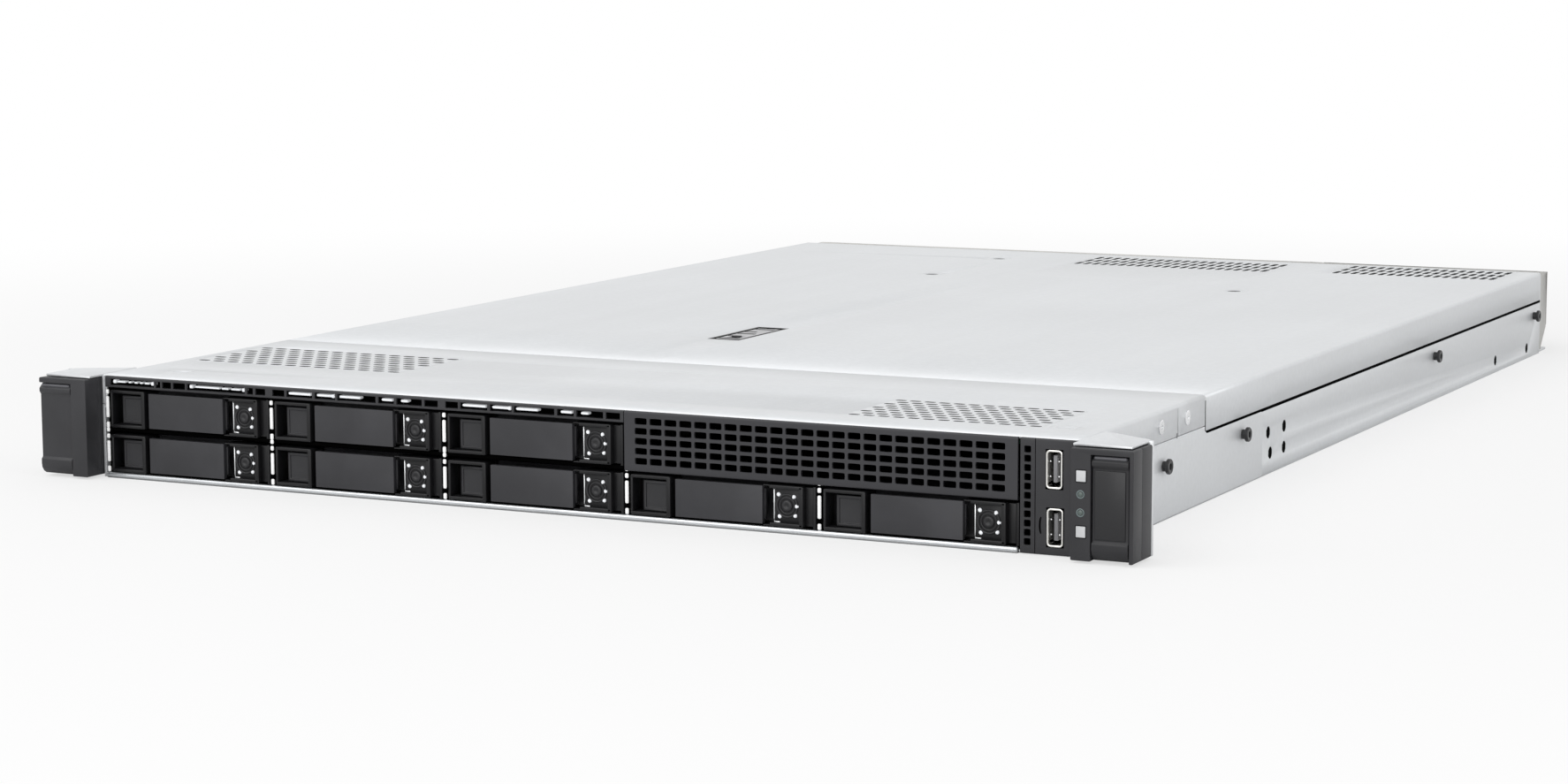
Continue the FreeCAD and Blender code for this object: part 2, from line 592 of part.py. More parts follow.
# ---------------------------------------------------------------- ears
def ear_housing(cheek):
    """Moulded ear on the right side: an inner strip and a cavity for the lever with its pin."""
    outer = EAR_SPAN / 2
    inner = HALF + GAP
    top = COVER_UNDER - GAP
    section = [(EAR_FRONT, EAR_BOTTOM), (EAR_FRONT, top - 2.0), (EAR_FRONT + 1.6, top),
               (EAR_BACK - GAP, top), (EAR_BACK - GAP, EAR_BOTTOM)]
    shell = prism(section, "x", inner, outer)
    cavity_end = outer - EAR_CHEEK if cheek else outer + 1
    cavity = block((EAR_STRIP, cavity_end), (EAR_FRONT - 1, 0), (EAR_BOTTOM - 1, LEVER_TOP + GAP))
    pin_end = cavity_end + 0.2 if cheek else outer - 3
    pin = rod(LEVER_PIN_R, "x", LEVER_PIVOT, EAR_STRIP - 0.2, pin_end)
    access = disc_prism(5.0, 10, (RACK_HOLE_SPAN / 2, RACK_HOLE_Z), "y", -1, EAR_BACK + 1)
    return fuse(carve(shell, cavity, access), pin)


def ear_lever(outer):
    """Release lever of the right side: a bar with a grip lip, a shallow face and a round lower end."""
    x = EAR_STRIP + GAP
    y, z = LEVER_PIVOT
    r = LEVER_ROUND
    front = EAR_FRONT

    def at(a, b):
        return Vec(x, a, b)
    outline = arc_wire([(at(front, z), at(y, z - r), at(y + r, z)), (at(y + r, z + 2.6),),
                        (at(LEVER_BACK, z + 5.0),), (at(LEVER_BACK, LEVER_TOP - 0.5),),
                        (at(LEVER_BACK - 1.2, LEVER_TOP),), (at(front + 0.9, LEVER_TOP),),
                        (at(front, LEVER_TOP - 1.1),), (at(front, LEVER_TOP - 2.8),),
                        (at(front + 0.8, LEVER_TOP - 4.2),), (at(front + 0.8, z + 3.4),), (at(front, z + 2.4),)])
    lever = Part.Face(outline).extrude(Vec(outer - x, 0, 0))
    return carve(lever, bore(LEVER_PIN_R + RUN, "x", LEVER_PIVOT, x - 1, outer + 1))


def right_ear():
    """Right ear with the pockets of its two buttons, and its two light pipes."""
    shell = ear_housing(True)
    pockets = [block(around(EAR_BUTTON_X, EAR_BUTTON[0] + GAP), (EAR_FRONT - 1, EAR_FRONT + 5.0),
                     around(z, EAR_BUTTON[1] + GAP)) for z in EAR_BUTTON_Z]
    sockets = [disc_prism(LIGHT_R, 10, (EAR_BUTTON_X - 0.2, z), "y", EAR_FRONT - 1, EAR_FRONT + LIGHT_DEPTH)
               for z in LIGHT_Z]
    pipes = [disc_prism(LIGHT_R - 0.15, 10, (EAR_BUTTON_X - 0.2, z), "y", EAR_FRONT + 0.1,
                        EAR_FRONT + LIGHT_DEPTH) for z in LIGHT_Z]
    return [carve(shell, *pockets, *sockets)] + pipes


def ear_button(z):
    x = around(EAR_BUTTON_X, EAR_BUTTON[0])
    front = EAR_FRONT - EAR_BUTTON_PROUD
    return block(x, (front, front + EAR_BUTTON_LENGTH), around(z, EAR_BUTTON[1]))


def ear_plate():
    """Bent steel plate of the right ear: rack flange, tapered top and a leg along the side wall."""
    inner = HALF
    outer = EAR_SPAN / 2
    flange = block((inner, outer), (EAR_BACK, EAR_BACK + EAR_PLATE), (EAR_BOTTOM, BODY_HEIGHT))
    top = prism([(inner, EAR_FRONT + 3.0), (outer - 1.5, EAR_FRONT + 3.0), (outer - 1.5, EAR_BACK + 2.6),
                 (inner, EAR_BACK + 15.3)], "z", COVER_UNDER, BODY_HEIGHT)
    leg = block((inner, inner + EAR_PLATE), (EAR_BACK, EAR_BACK + 15.3), (EAR_BOTTOM, BODY_HEIGHT))
    hole = rod(RACK_HOLE_R, "y", (RACK_HOLE_SPAN / 2, RACK_HOLE_Z), EAR_BACK - 1, EAR_BACK + EAR_PLATE + 1)
    return carve(fuse(flange, top, leg), hole)


# ---------------------------------------------------------------- side hardware
def rail_spool(y):
    """Shouldered spool riveted to the right wall: a narrow neck under a round head."""
    neck, head = HALF + SPOOL_NECK, HALF + SPOOL_NECK + SPOOL_HEAD
    return fuse(disc_prism(SPOOL_NECK_R, 8, (y, SPOOL_Z), "x", HALF, neck),
                rod(SPOOL_HEAD_R, "x", (y, SPOOL_Z), neck, head))


def cover_screw(y):
    return disc_prism(SCREW_R, 12, (y, SCREW_Z), "x", HALF, HALF + SCREW_HEAD)


# ---------------------------------------------------------------- fans
def fan_centre(index):
    return (index - (FAN_COUNT - 1) / 2) * FAN_PITCH


def fan_low():
    return 2 * SHEET + GAP


def fan_wall():
    """Sheet tray that holds the fans: a floor with a lip and fences between the seven places."""
    width = FAN_COUNT * FAN_PITCH / 2
    y = (FAN_FRONT - 3.0, FAN_FRONT + FAN_DEPTH + 3.0)
    floor = block((-width, width), y, (SHEET, 2 * SHEET))
    fences = [block(around((k - FAN_COUNT / 2) * FAN_PITCH, SHEET) if 0 < k < FAN_COUNT
                    else ((-width, SHEET - width) if k == 0 else (width - SHEET, width)),
                    y, (SHEET, 34.0)) for k in range(FAN_COUNT + 1)]
    return fuse(floor, *fences)


def fan_frame(index):
    """Fan housing: a block with a round duct, and the motor base on four struts at its rear."""
    x = fan_centre(index)
    low = fan_low()
    z = low + FAN_HEIGHT / 2
    rear = FAN_FRONT + FAN_DEPTH
    body = block(around(x, FAN_WIDTH), (FAN_FRONT, rear), (low, low + FAN_HEIGHT))
    duct = disc_prism(FAN_BORE_R, 16, (x, z), "y", FAN_FRONT - 1, rear + 1)
    base = disc_prism(FAN_HUB_R, 2 * FAN_BLADES, (x, z), "y", rear - FAN_MOTOR, rear)
    across = block(around(x, 2 * FAN_BORE_R + 2), (rear - 2.5, rear), around(z, 2.4))
    upright = block(around(x, 2.4), (rear - 2.5, rear), around(z, 2 * FAN_BORE_R + 2))
    bearing = bore(FAN_SHAFT_R + RUN, "y", (x, z), rear - FAN_MOTOR - 1, rear - 0.8)
    return carve(fuse(carve(body, duct), base, across, upright), bearing)


def fan_blank(index):
    """Filler in an unused fan place: a hollow box, open to the rear."""
    x = fan_centre(index)
    low = fan_low()
    body = block(around(x, FAN_WIDTH), (FAN_FRONT, FAN_FRONT + FAN_DEPTH), (low, low + FAN_HEIGHT))
    return carve(body, block(around(x, FAN_WIDTH - 4), (FAN_FRONT + 2, FAN_FRONT + FAN_DEPTH + 1),
                             (low + 2, low + FAN_HEIGHT - 2)))


def fan_rotor(index):
    """Rotor: a hub with a facet pair for each blade, pitched blades cut off at the tip, and the shaft."""
    x = fan_centre(index)
    z = fan_low() + FAN_HEIGHT / 2
    rear = FAN_FRONT + FAN_DEPTH - FAN_MOTOR - 0.6
    front = FAN_FRONT + 3.0
    middle = (front + rear) / 2
    hub = disc_prism(FAN_HUB_R, 2 * FAN_BLADES, (x, z), "y", front, rear)
    shaft = rod(FAN_SHAFT_R, "y", (x, z), rear - 0.5, rear + FAN_MOTOR - 1.0)
    chord, thick = FAN_CHORD / 2, FAN_BLADE_SHEET / 2
    pitch = math.radians(FAN_BLADE_PITCH)
    along, across = Vec(0, math.sin(pitch), math.cos(pitch)), Vec(0, math.cos(pitch), -math.sin(pitch))
    corners = [Vec(FAN_HUB_R - 1.5, 0, 0) + along * (a * chord) + across * (t * thick)
               for a, t in ((-1, -1), (1, -1), (1, 1), (-1, 1))]
    section = Part.Face(Part.makePolygon(corners + corners[:1]))
    blade = section.extrude(Vec(FAN_TIP_R - FAN_HUB_R, 0, 0))
    blades = []
    for k in range(FAN_BLADES):
        one = blade.copy()
        one.rotate(Vec(0, 0, 0), Vec(0, 1, 0), 360.0 * k / FAN_BLADES)
        blades.append(one.translated(Vec(x, middle, z)))
    return fuse(hub, shaft, *blades)


# ---------------------------------------------------------------- board and what stands on it
def memory_columns(socket_x):
    """X of the memory slots on both sides of a processor."""
    reach = SINK_SIZE[0] / 2 + 7.0
    offsets = [reach + DIMM_PITCH * k for k in range(DIMM_PER_SIDE)]
    return [socket_x - off for off in reversed(offsets)] + [socket_x + off for off in offsets]


def board_top():
    return BOARD_Z + BOARD_SHEET


def jack_group(centres):
    """Ganged network jacks: a back, a floor, a roof and the walls between their mouths."""
    rear = PANEL_REAR - GAP
    mouth = rear - JACK_HOLE[2]
    low, high = board_top(), board_top() + JACK[1]
    mouth_z = (low + JACK_FLOOR, low + JACK_FLOOR + JACK_HOLE[1])
    x = (centres[0] - JACK[0] / 2, centres[-1] + JACK[0] / 2)
    edges = [x[0]] + [edge for centre in centres for edge in around(centre, JACK_HOLE[0])] + [x[1]]
    walls = [block(edges[k:k + 2], (mouth, rear), mouth_z) for k in range(0, len(edges), 2)]
    return [block(x, (rear - JACK[2], mouth), (low, high)), block(x, (mouth, rear), (low, mouth_z[0])),
            block(x, (mouth, rear), (mouth_z[1], high)), *walls]


def rear_usb():
    """Double USB port, one opening above the other, each with its tongue."""
    rear = PANEL_REAR - GAP
    low = board_top()
    solids = [block(around(REAR_USB_X, REAR_USB[0]), (rear - REAR_USB[2], rear), (low, low + REAR_USB[1]))]
    for z in (low + 1.2, low + 8.8):
        opening = block(around(REAR_USB_X, 12.6), (rear - 12, rear + 1), (z, z + 5.4))
        solids[0] = carve(solids[0], opening)
        solids.append(block(around(REAR_USB_X, 11.2), (rear - 12, rear - 2), (z + 2.6, z + 4.4)))
    return solids


def video_port():
    """Video port: a trapezoid shell on its block."""
    rear = PANEL_REAR - GAP
    low = board_top()
    z = low + VIDEO[1] / 2 + 0.6
    body = block(around(VIDEO_X, VIDEO[0]), (rear - VIDEO[2], rear - 1), (low, low + VIDEO[1]))
    shell = prism([(VIDEO_X - 8.5, z + 4), (VIDEO_X + 8.5, z + 4), (VIDEO_X + 7.3, z - 4), (VIDEO_X - 7.3, z - 4)],
                  "y", rear - 1, rear + 4.0)
    return fuse(body, shell)


def system_board():
    """Board outline with sockets, memory slots, chips and the rear connectors as its own solids."""
    edge = [(-BOARD_HALF, BOARD_FRONT), (BOARD_HALF, BOARD_FRONT), (BOARD_HALF, BOARD_REAR),
            (BOARD_LEFT, BOARD_REAR), (BOARD_LEFT, BOARD_STEP_Y), (-BOARD_HALF, BOARD_STEP_Y)]
    solids = [prism(edge, "z", BOARD_Z, board_top())]
    top = board_top()
    for socket_x in SOCKET_X:
        solids.append(block(around(socket_x, 60.0), around(SOCKET_Y, 78.0), (top, top + 3.0)))
        for x in memory_columns(socket_x):
            slot = block(around(x, DIMM_SLOT[0]), around(SOCKET_Y, DIMM_SLOT[1]), (top, top + DIMM_SLOT[2]))
            groove = block(around(x, DIMM_SHEET + 2 * DIMM_CLEAR), around(SOCKET_Y, DIMM_LENGTH + 2 * GAP),
                           (top + DIMM_SEAT, top + DIMM_SLOT[2] + 1))
            solids.append(carve(slot, groove) if socket_x == SOCKET_X[1] else slot)
    dust_cover = block(around(SOCKET_X[0], 52.0), around(SOCKET_Y, 70.0), (top + 3.0, top + 5.5))
    chipset = block(around(-10.0, 38.0), around(520.0, 38.0), (top, top + 12.0))
    battery = disc_prism(BATTERY[0], 12, BATTERY_AT, "z", top, top + BATTERY[1])
    power_edges = [block(around(psu_left(k) + PSU_WIDTH / 2, 40.0), (BOARD_STEP_Y - 9, BOARD_STEP_Y),
                         (top, top + 16.0)) for k in range(2)]
    jacks = jack_group(REAR_JACKS[:4]) + jack_group(REAR_JACKS[4:])
    return solids + [dust_cover, chipset, battery, video_port()] + power_edges + jacks + rear_usb()


def heatsink():
    """Extruded heatsink: base and straight fins along the air flow, one comb profile."""
    x0 = SOCKET_X[1] - SINK_SIZE[0] / 2
    low = board_top() + 3.0
    pitch = (SINK_SIZE[0] - 1.0) / (SINK_FINS - 1)
    comb = [(x0, low), (x0, low + SINK_SIZE[2])]
    for k in range(SINK_FINS):
        fin = x0 + pitch * k
        if k:
            comb += [(fin, low + 4.0), (fin, low + SINK_SIZE[2])]
        comb += [(fin + 1.0, low + SINK_SIZE[2])]
        if k < SINK_FINS - 1:
            comb += [(fin + 1.0, low + 4.0)]
    comb.append((x0 + SINK_SIZE[0], low))
    return prism(comb, "y", *around(SOCKET_Y, SINK_SIZE[1]))


def memory_modules():
    low = board_top() + DIMM_SEAT
    return [block(around(x, DIMM_SHEET), around(SOCKET_Y, DIMM_LENGTH), (low, low + DIMM_HEIGHT))
            for x in memory_columns(SOCKET_X[1])]


def air_baffle():
    """Moulded duct over the memory: a roof with legs beside each processor."""
    top = WALL_TOP - GAP
    under = top - BAFFLE_SHEET
    solids = []
    for socket_x in SOCKET_X:
        columns = memory_columns(socket_x)
        inner = SINK_SIZE[0] / 2 + 1.0
        outer = columns[-1] - socket_x + 4.6
        for side in (-1, 1):
            near, far = socket_x + side * inner, socket_x + side * outer
            leg = board_top() + DIMM_SLOT[2] + 2.0
            step = side * BAFFLE_SHEET
            hat = [(near, leg), (near, top), (far, top), (far, leg), (far - step, leg),
                   (far - step, under), (near + step, under), (near + step, leg)]
            solids.append(prism(hat, "y", *BAFFLE_Y))
    bridge = block((SOCKET_X[0] + SINK_SIZE[0] / 2 + 1.0, SOCKET_X[1] - SINK_SIZE[0] / 2 - 1.0),
                   (BAFFLE_Y[1] - 12.0, BAFFLE_Y[1]), (under, top))
    bars = [block((x - SINK_SIZE[0] / 2 - 1.0, x + SINK_SIZE[0] / 2 + 1.0), (BAFFLE_Y[1] - 12.0, BAFFLE_Y[1]),
                  (under, top)) for x in SOCKET_X]
    return fuse(solids[0], *solids[1:], bridge, *bars)


def slot_cover(x):
    """Blanking bracket of an expansion slot with a row of air slots."""
    front = PANEL_REAR - SHEET - GAP - COVER_SHEET
    plate = block((x[0] - 3, x[1] + 3), (front, front + COVER_SHEET), (SLOT_Z[0] - 0.8, SLOT_Z[1]))
    count = int((x[1] - x[0] - 10) // 18)
    holes = [block((x[0] + 6 + 18 * k, x[0] + 20 + 18 * k), (front - 1, front + COVER_SHEET + 1),
                   (SLOT_Z[0] + 3, SLOT_Z[1] - 3)) for k in range(count)]
    return carve(plate, *holes)


def riser_cage():
    """Sheet bracket that carries one expansion card flat, and the covers of both slots."""
    foot, shelf, top = board_top() + 14.0, SLOT_Z[0] - 1.6, SLOT_Z[1] - 0.6
    left, right = SLOT_ONE[0] - 2.0, SLOT_ONE[1]
    y = (PANEL_REAR - RISER_LENGTH, PANEL_REAR - SHEET - 2 * GAP - COVER_SHEET)
    section = [(left, foot - 12), (left, top), (left + SHEET, top), (left + SHEET, shelf + SHEET),
               (right, shelf + SHEET), (right, shelf), (left + SHEET, shelf), (left + SHEET, foot - 12)]
    bracket = prism(section, "y", *y)
    card = block((left + SHEET, right - 6), (y[0] + 8, y[1] - 4), (shelf + SHEET, shelf + SHEET + BOARD_SHEET))
    chip = block(around(SLOT_ONE[0] + CARD_CHIP_AT[0], CARD_CHIP[0]), around(y[0] + CARD_CHIP_AT[1], CARD_CHIP[1]),
                 (card.BoundBox.ZMax, card.BoundBox.ZMax + CARD_CHIP[2]))
    return [bracket, card, chip, slot_cover(SLOT_ONE), slot_cover(SLOT_TWO)]


# ---------------------------------------------------------------- rear
def psu_left(index):
    return PSU_LEFT + PSU_PITCH * index


def plates(x, z, openings):
    """Rectangles that a wall is made of around its openings, each as wide as it can be.

    The wall is cut into columns at the sides of the openings; a stretch that is free in neighbouring
    columns is one plate.  All are pairs of limits in X and Z.
    """
    edges = sorted({edge for opening in openings for edge in opening[0] if x[0] < edge < x[1]} | set(x))
    running, done = {}, []
    for left, right in zip(edges, edges[1:]):
        free, level = [], z[0]
        for low, high in sorted(opening[1] for opening in openings if opening[0][0] <= left < opening[0][1]):
            if low > level:
                free.append((level, low))
            level = max(level, high)
        if level < z[1]:
            free.append((level, z[1]))
        for stretch in [stretch for stretch in running if stretch not in free]:
            done.append((running.pop(stretch), stretch))
        for stretch in free:
            running[stretch] = (running.get(stretch, (left, right))[0], right)
    return done + [(across, stretch) for stretch, across in running.items()]


def rear_panel():
    """Rear wall around its openings, its vent grille, and the flanges that join it to the chassis."""
    side = INNER_WALL - GAP + 0.2
    low, top = SHEET, WALL_TOP - 0.1
    front, face, rear = WALL_REAR + GAP, PANEL_REAR - SHEET, PANEL_REAR
    flange = [(front, low), (rear - REAR_CORNER, low), (face, low + REAR_CORNER - SHEET),
              (face, top - REAR_ROOF), (front, top - REAR_ROOF)]
    flanges = [prism(flange, "x", min(s * side, s * (side - SHEET)), max(s * side, s * (side - SHEET)))
               for s in (-1, 1)]
    roof = block((-side, side), (front, face), (top - REAR_ROOF, top))
    base = board_top() - GAP
    jack_z = (base, base + JACK[1] + 2 * GAP)
    grille_x = (VENT_BARS_X - GRILLE_RIM, VENT_BARS_X + VENT_BAR_COUNT * VENT_BAR_PITCH + GRILLE_RIM)
    grille_z = (VENT_BARS_Z[0] - GRILLE_RIM, VENT_BARS_Z[1] + GRILLE_RIM)
    openings = [(around(s * side, 6.0), (low - 1, low + REAR_CORNER)) for s in (-1, 1)]
    openings += [((PSU_LEFT - GAP, psu_left(1) + PSU_WIDTH + GAP), (low - 1, SHEET + PSU_HEIGHT + 2 * GAP)),
                 (SLOT_ONE, SLOT_Z), (SLOT_TWO, SLOT_Z), (grille_x, grille_z),
                 ((REAR_JACKS[0] - JACK[0] / 2 - GAP, REAR_JACKS[3] + JACK[0] / 2 + GAP), jack_z),
                 (around(REAR_JACKS[4], JACK[0] + 2 * GAP), jack_z),
                 (around(REAR_USB_X, REAR_USB[0] + 2 * GAP), (base, base + REAR_USB[1] + 2 * GAP)),
                 (around(VIDEO_X, 18.5), (base + 2.0, base + 12.0))]
    wall = [block(across, (face, rear), stretch) for across, stretch in plates((-side, side), (low, top), openings)]
    slots = [block(around(VENT_BARS_X + (k + 0.5) * VENT_BAR_PITCH, VENT_BAR_PITCH - VENT_BAR),
                   (face - 1, rear + 1), VENT_BARS_Z) for k in range(VENT_BAR_COUNT)]
    grille = carve(block(grille_x, (face, rear), grille_z), *slots)
    return [*wall, grille, roof, *flanges]


def power_supply(index):
    """Power supply: steel case, power inlet with its blades, fan grille and a bail handle."""
    x0 = psu_left(index)
    low = SHEET + GAP
    rear = PANEL_REAR
    x, z, step = (x0, x0 + PSU_WIDTH), (low, low + PSU_HEIGHT), rear - PSU_INLET[2]
    case = block(x, (rear - PSU_LENGTH, step), z)
    end = block(x, (step, rear), z)
    inlet_x, inlet_z = x0 + PSU_WIDTH - 18.0, low + 12.5
    inlet = block(around(inlet_x, PSU_INLET[0]), (rear - PSU_INLET[2], rear + 1), around(inlet_z, PSU_INLET[1]))
    blades = [block(around(inlet_x + dx, 2.0), (rear - PSU_INLET[2], rear - 2.5), around(inlet_z + dz, 4.0))
              for dx, dz in ((-7.0, -2.0), (0.0, 2.0), (7.0, -2.0))]
    grille_x, grille_z = x0 + 19.0, low + PSU_HEIGHT / 2
    grille = [block((grille_x - 16 + 6.6 * k, grille_x - 11.4 + 6.6 * k), (rear - 1.2, rear + 1),
                    around(grille_z, 30.0 if 0 < k < 4 else 20.0)) for k in range(5)]
    pocket = block((x0 + PSU_WIDTH - TAB[0] - 2.6, x0 + PSU_WIDTH + 1), (rear - TAB[1] - 2.4, rear + 1),
                   (low + PSU_HEIGHT - TAB[2] - 3.0, low + PSU_HEIGHT - 2.0))
    end = carve(end, inlet, pocket, *grille)
    hand = x0 + PSU_WIDTH / 2 - 1.0
    reach = PANEL_REAR + PSU_REACH
    post_x = [(hand - BAIL[0] / 2, hand - BAIL[0] / 2 + BAIL[1]), (hand + BAIL[0] / 2 - BAIL[1], hand + BAIL[0] / 2)]
    bail_z = (low + 27.0, low + 36.0)
    posts = [block(x, (rear, reach - BAIL[1]), bail_z) for x in post_x]
    grip = prism([(post_x[0][0], reach - BAIL[1]), (post_x[0][1], reach), (post_x[1][0], reach),
                  (post_x[1][1], reach - BAIL[1])], "z", *bail_z)
    return [case, end, *blades, *posts, grip]


def power_supply_tab(index):
    """Release tab in the corner of a power supply; it is pushed towards the bail handle."""
    x1 = psu_left(index) + PSU_WIDTH - 0.2
    low = SHEET + GAP
    top = low + PSU_HEIGHT - 2.0 - GAP
    y = (PANEL_REAR - TAB[1] - 2.4 + GAP, PANEL_REAR + 5.0)
    body = prism([(x1 - TAB[0], y[0]), (x1, y[0]), (x1, y[1] - 2.0), (x1 - 1.6, y[1]), (x1 - TAB[0] + 2, y[1]),
                  (x1 - TAB[0], y[1] - 3.0)], "z", low + PSU_HEIGHT - TAB[2] - 3.0 + GAP, top)
    return body


# ---------------------------------------------------------------- build
def main():
    os.makedirs("parts", exist_ok=True)
    export("chassis_tray", chassis_tray())
    export("front_cover", front_cover())
    export("main_cover", main_cover())
    export("cover_latch_frame", cover_latch_frame())
    export("cover_latch_lever", cover_latch_lever())
    export("bay_bezel", bay_bezel())
    export("media_bay_panel", media_bay_panel())
    export("port_panel", port_panel())
    export("usb_ports", *usb_ports())
    export("drive_cage", drive_cage())
    export("drive_backplane", *drive_backplane())
    carrier, handle, button = drive_carrier(), drive_handle(), drive_button()
    for number, (column, row) in enumerate(bays(), start=1):
        place = Vec(column_left(column) + CARRIER_OFFSET, 0, ROW_Z[row])
        export("drive_carrier_%d" % number, *[solid.translated(place) for solid in carrier])
        export("drive_handle_%d" % number, handle.translated(place))
        export("drive_button_%d" % number, button.translated(place))
    export("right_ear", *right_ear())
    export("left_ear", mirrored(ear_housing(False)))
    export("ear_plates", *both_sides(ear_plate()))
    export("right_ear_lever", ear_lever(EAR_SPAN / 2 - EAR_CHEEK - GAP))
    export("left_ear_lever", mirrored(ear_lever(EAR_SPAN / 2)))
    export("power_button", ear_button(EAR_BUTTON_Z[0]))
    export("identify_button", ear_button(EAR_BUTTON_Z[1]))
    export("rail_spools", *[solid for y in SPOOL_Y for solid in both_sides(rail_spool(y))])
    export("cover_screws", *[solid for y in SCREW_Y for solid in both_sides(cover_screw(y))])
    fans = [k for k in range(FAN_COUNT) if k not in FAN_BLANKS]
    export("fan_frames", fan_wall(), *[fan_frame(k) for k in fans], *[fan_blank(k) for k in FAN_BLANKS])
    for number, index in enumerate(fans, start=1):
        export("fan_rotor_%d" % number, fan_rotor(index))
    export("system_board", *system_board())
    export("heatsink", heatsink())
    export("memory_modules", *memory_modules())
    export("air_baffle", air_baffle())
    export("riser_cage", *riser_cage())
    export("rear_panel", *rear_panel())
    for index in range(2):
        export("power_supply_%d" % (index + 1), *power_supply(index))
        export("power_supply_tab_%d" % (index + 1), power_supply_tab(index))


main()
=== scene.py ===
"""Looks of a one-unit rack server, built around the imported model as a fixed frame.

X runs to the right as the server is seen from the front, Y runs from the front to the back and Z runs up.
Shapes are worked out in millimetres and written into the meshes in metres.
"""
import json
import math

import bmesh
import bpy
import numpy as np
from mathutils import Matrix, Vector

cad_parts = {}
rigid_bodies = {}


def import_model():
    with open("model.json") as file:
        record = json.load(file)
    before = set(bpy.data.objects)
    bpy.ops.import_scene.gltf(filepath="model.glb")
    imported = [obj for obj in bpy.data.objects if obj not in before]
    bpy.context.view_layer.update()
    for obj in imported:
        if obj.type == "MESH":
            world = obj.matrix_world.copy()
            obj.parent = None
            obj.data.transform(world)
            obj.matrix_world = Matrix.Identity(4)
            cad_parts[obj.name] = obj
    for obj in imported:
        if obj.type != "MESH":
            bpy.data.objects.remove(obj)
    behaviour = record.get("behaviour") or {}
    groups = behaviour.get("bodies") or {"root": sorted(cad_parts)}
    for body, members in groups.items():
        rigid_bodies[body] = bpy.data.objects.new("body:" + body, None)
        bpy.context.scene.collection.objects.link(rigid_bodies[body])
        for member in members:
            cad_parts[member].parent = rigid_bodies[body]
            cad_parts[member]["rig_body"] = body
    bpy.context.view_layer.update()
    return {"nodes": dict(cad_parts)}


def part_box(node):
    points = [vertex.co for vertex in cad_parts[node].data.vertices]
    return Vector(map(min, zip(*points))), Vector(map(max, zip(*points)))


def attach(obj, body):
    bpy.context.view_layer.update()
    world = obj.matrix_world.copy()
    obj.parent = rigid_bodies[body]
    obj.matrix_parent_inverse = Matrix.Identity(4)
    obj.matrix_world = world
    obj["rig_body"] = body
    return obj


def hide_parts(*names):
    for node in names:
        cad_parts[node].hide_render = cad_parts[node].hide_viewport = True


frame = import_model()

bl_info = {
    "name": "Rack Server Looks",
    "version": (1, 0, 0),
    "blender": (4, 5, 0),
    "location": "3D View > Sidebar > Server",
    "description": "Sheet metal, mouldings and ports of a one-unit rack server",
    "category": "Object",
}

MM = 0.001
POLE = 0.001        # radius at which a turned section ends on its axis, where welding closes it
WELD = 0.002        # points nearer than this are merged
BEND_STEPS = 5      # quads round a fold of a sheet


# ---------------------------------------------------------------- settings
def tone(name, description, *rgb):
    """Setting that holds a colour."""
    return bpy.props.FloatVectorProperty(name=name, description=description, subtype="COLOR", size=4,
                                         min=0, max=1, default=(*rgb, 1))


def measure(name, description, unit, default, **limits):
    """Setting that holds a length or an angle."""
    return bpy.props.FloatProperty(name=name, description=description, unit=unit, default=default, **limits)


class ServerFinish(bpy.types.PropertyGroup):
    """Colours of the server's surfaces."""
    steel: tone("Steel", "Zinc-coated sheet of the covers and the chassis", 0.72, 0.735, 0.75)
    plastic: tone("Plastic", "Black mouldings of the front", 0.026, 0.026, 0.029)
    panel: tone("Bay panel", "Black painted sheet of the perforated panel", 0.033, 0.033, 0.037)
    key: tone("Keys", "Light grey buttons on the right ear", 0.62, 0.63, 0.64)
    rear: tone("Rear panel", "Warm grey sheet at the rear", 0.58, 0.575, 0.55)
    board: tone("Boards", "Solder mask of the circuit boards", 0.016, 0.09, 0.045)
    touch: tone("Touch points", "Release tabs at the rear", 0.26, 0.06, 0.035)


class ServerShape(bpy.types.PropertyGroup):
    """Small sizes that the looks add to the solids."""
    edge: measure("Moulded edge", "Rounding of the edges of the mouldings", "LENGTH", 0.28 * MM, min=0)
    bend: measure("Bend", "Outer radius of the folds of the covers", "LENGTH", 1.5 * MM, min=0)
    sheet: measure("Sheet", "Thickness of the covers", "LENGTH", 1.0 * MM, min=0)


class ServerStage(bpy.types.PropertyGroup):
    """Floor and camera."""
    floor: tone("Floor", "Pale floor under the server", 0.93, 0.93, 0.93)
    lens: measure("Lens", "Focal length of the camera", "CAMERA", 77.83, min=1)
    azimuth: measure("Azimuth", "Camera's turn about the vertical", "ROTATION", math.radians(26.524))
    elevation: measure("Elevation", "Camera's height angle", "ROTATION", math.radians(7.689))
    roll: measure("Roll", "Camera's turn about its own axis", "ROTATION", math.radians(-0.211))


# ---------------------------------------------------------------- surfaces
def span(node):
    """Lowest and highest corner of a node."""
    low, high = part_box(node)
    return np.array(low) / MM, np.array(high) / MM


def rows(x, y, z):
    """Points (..., 3) from three coordinates, each a number or an array."""
    return np.stack(np.broadcast_arrays(x, y, z), -1)


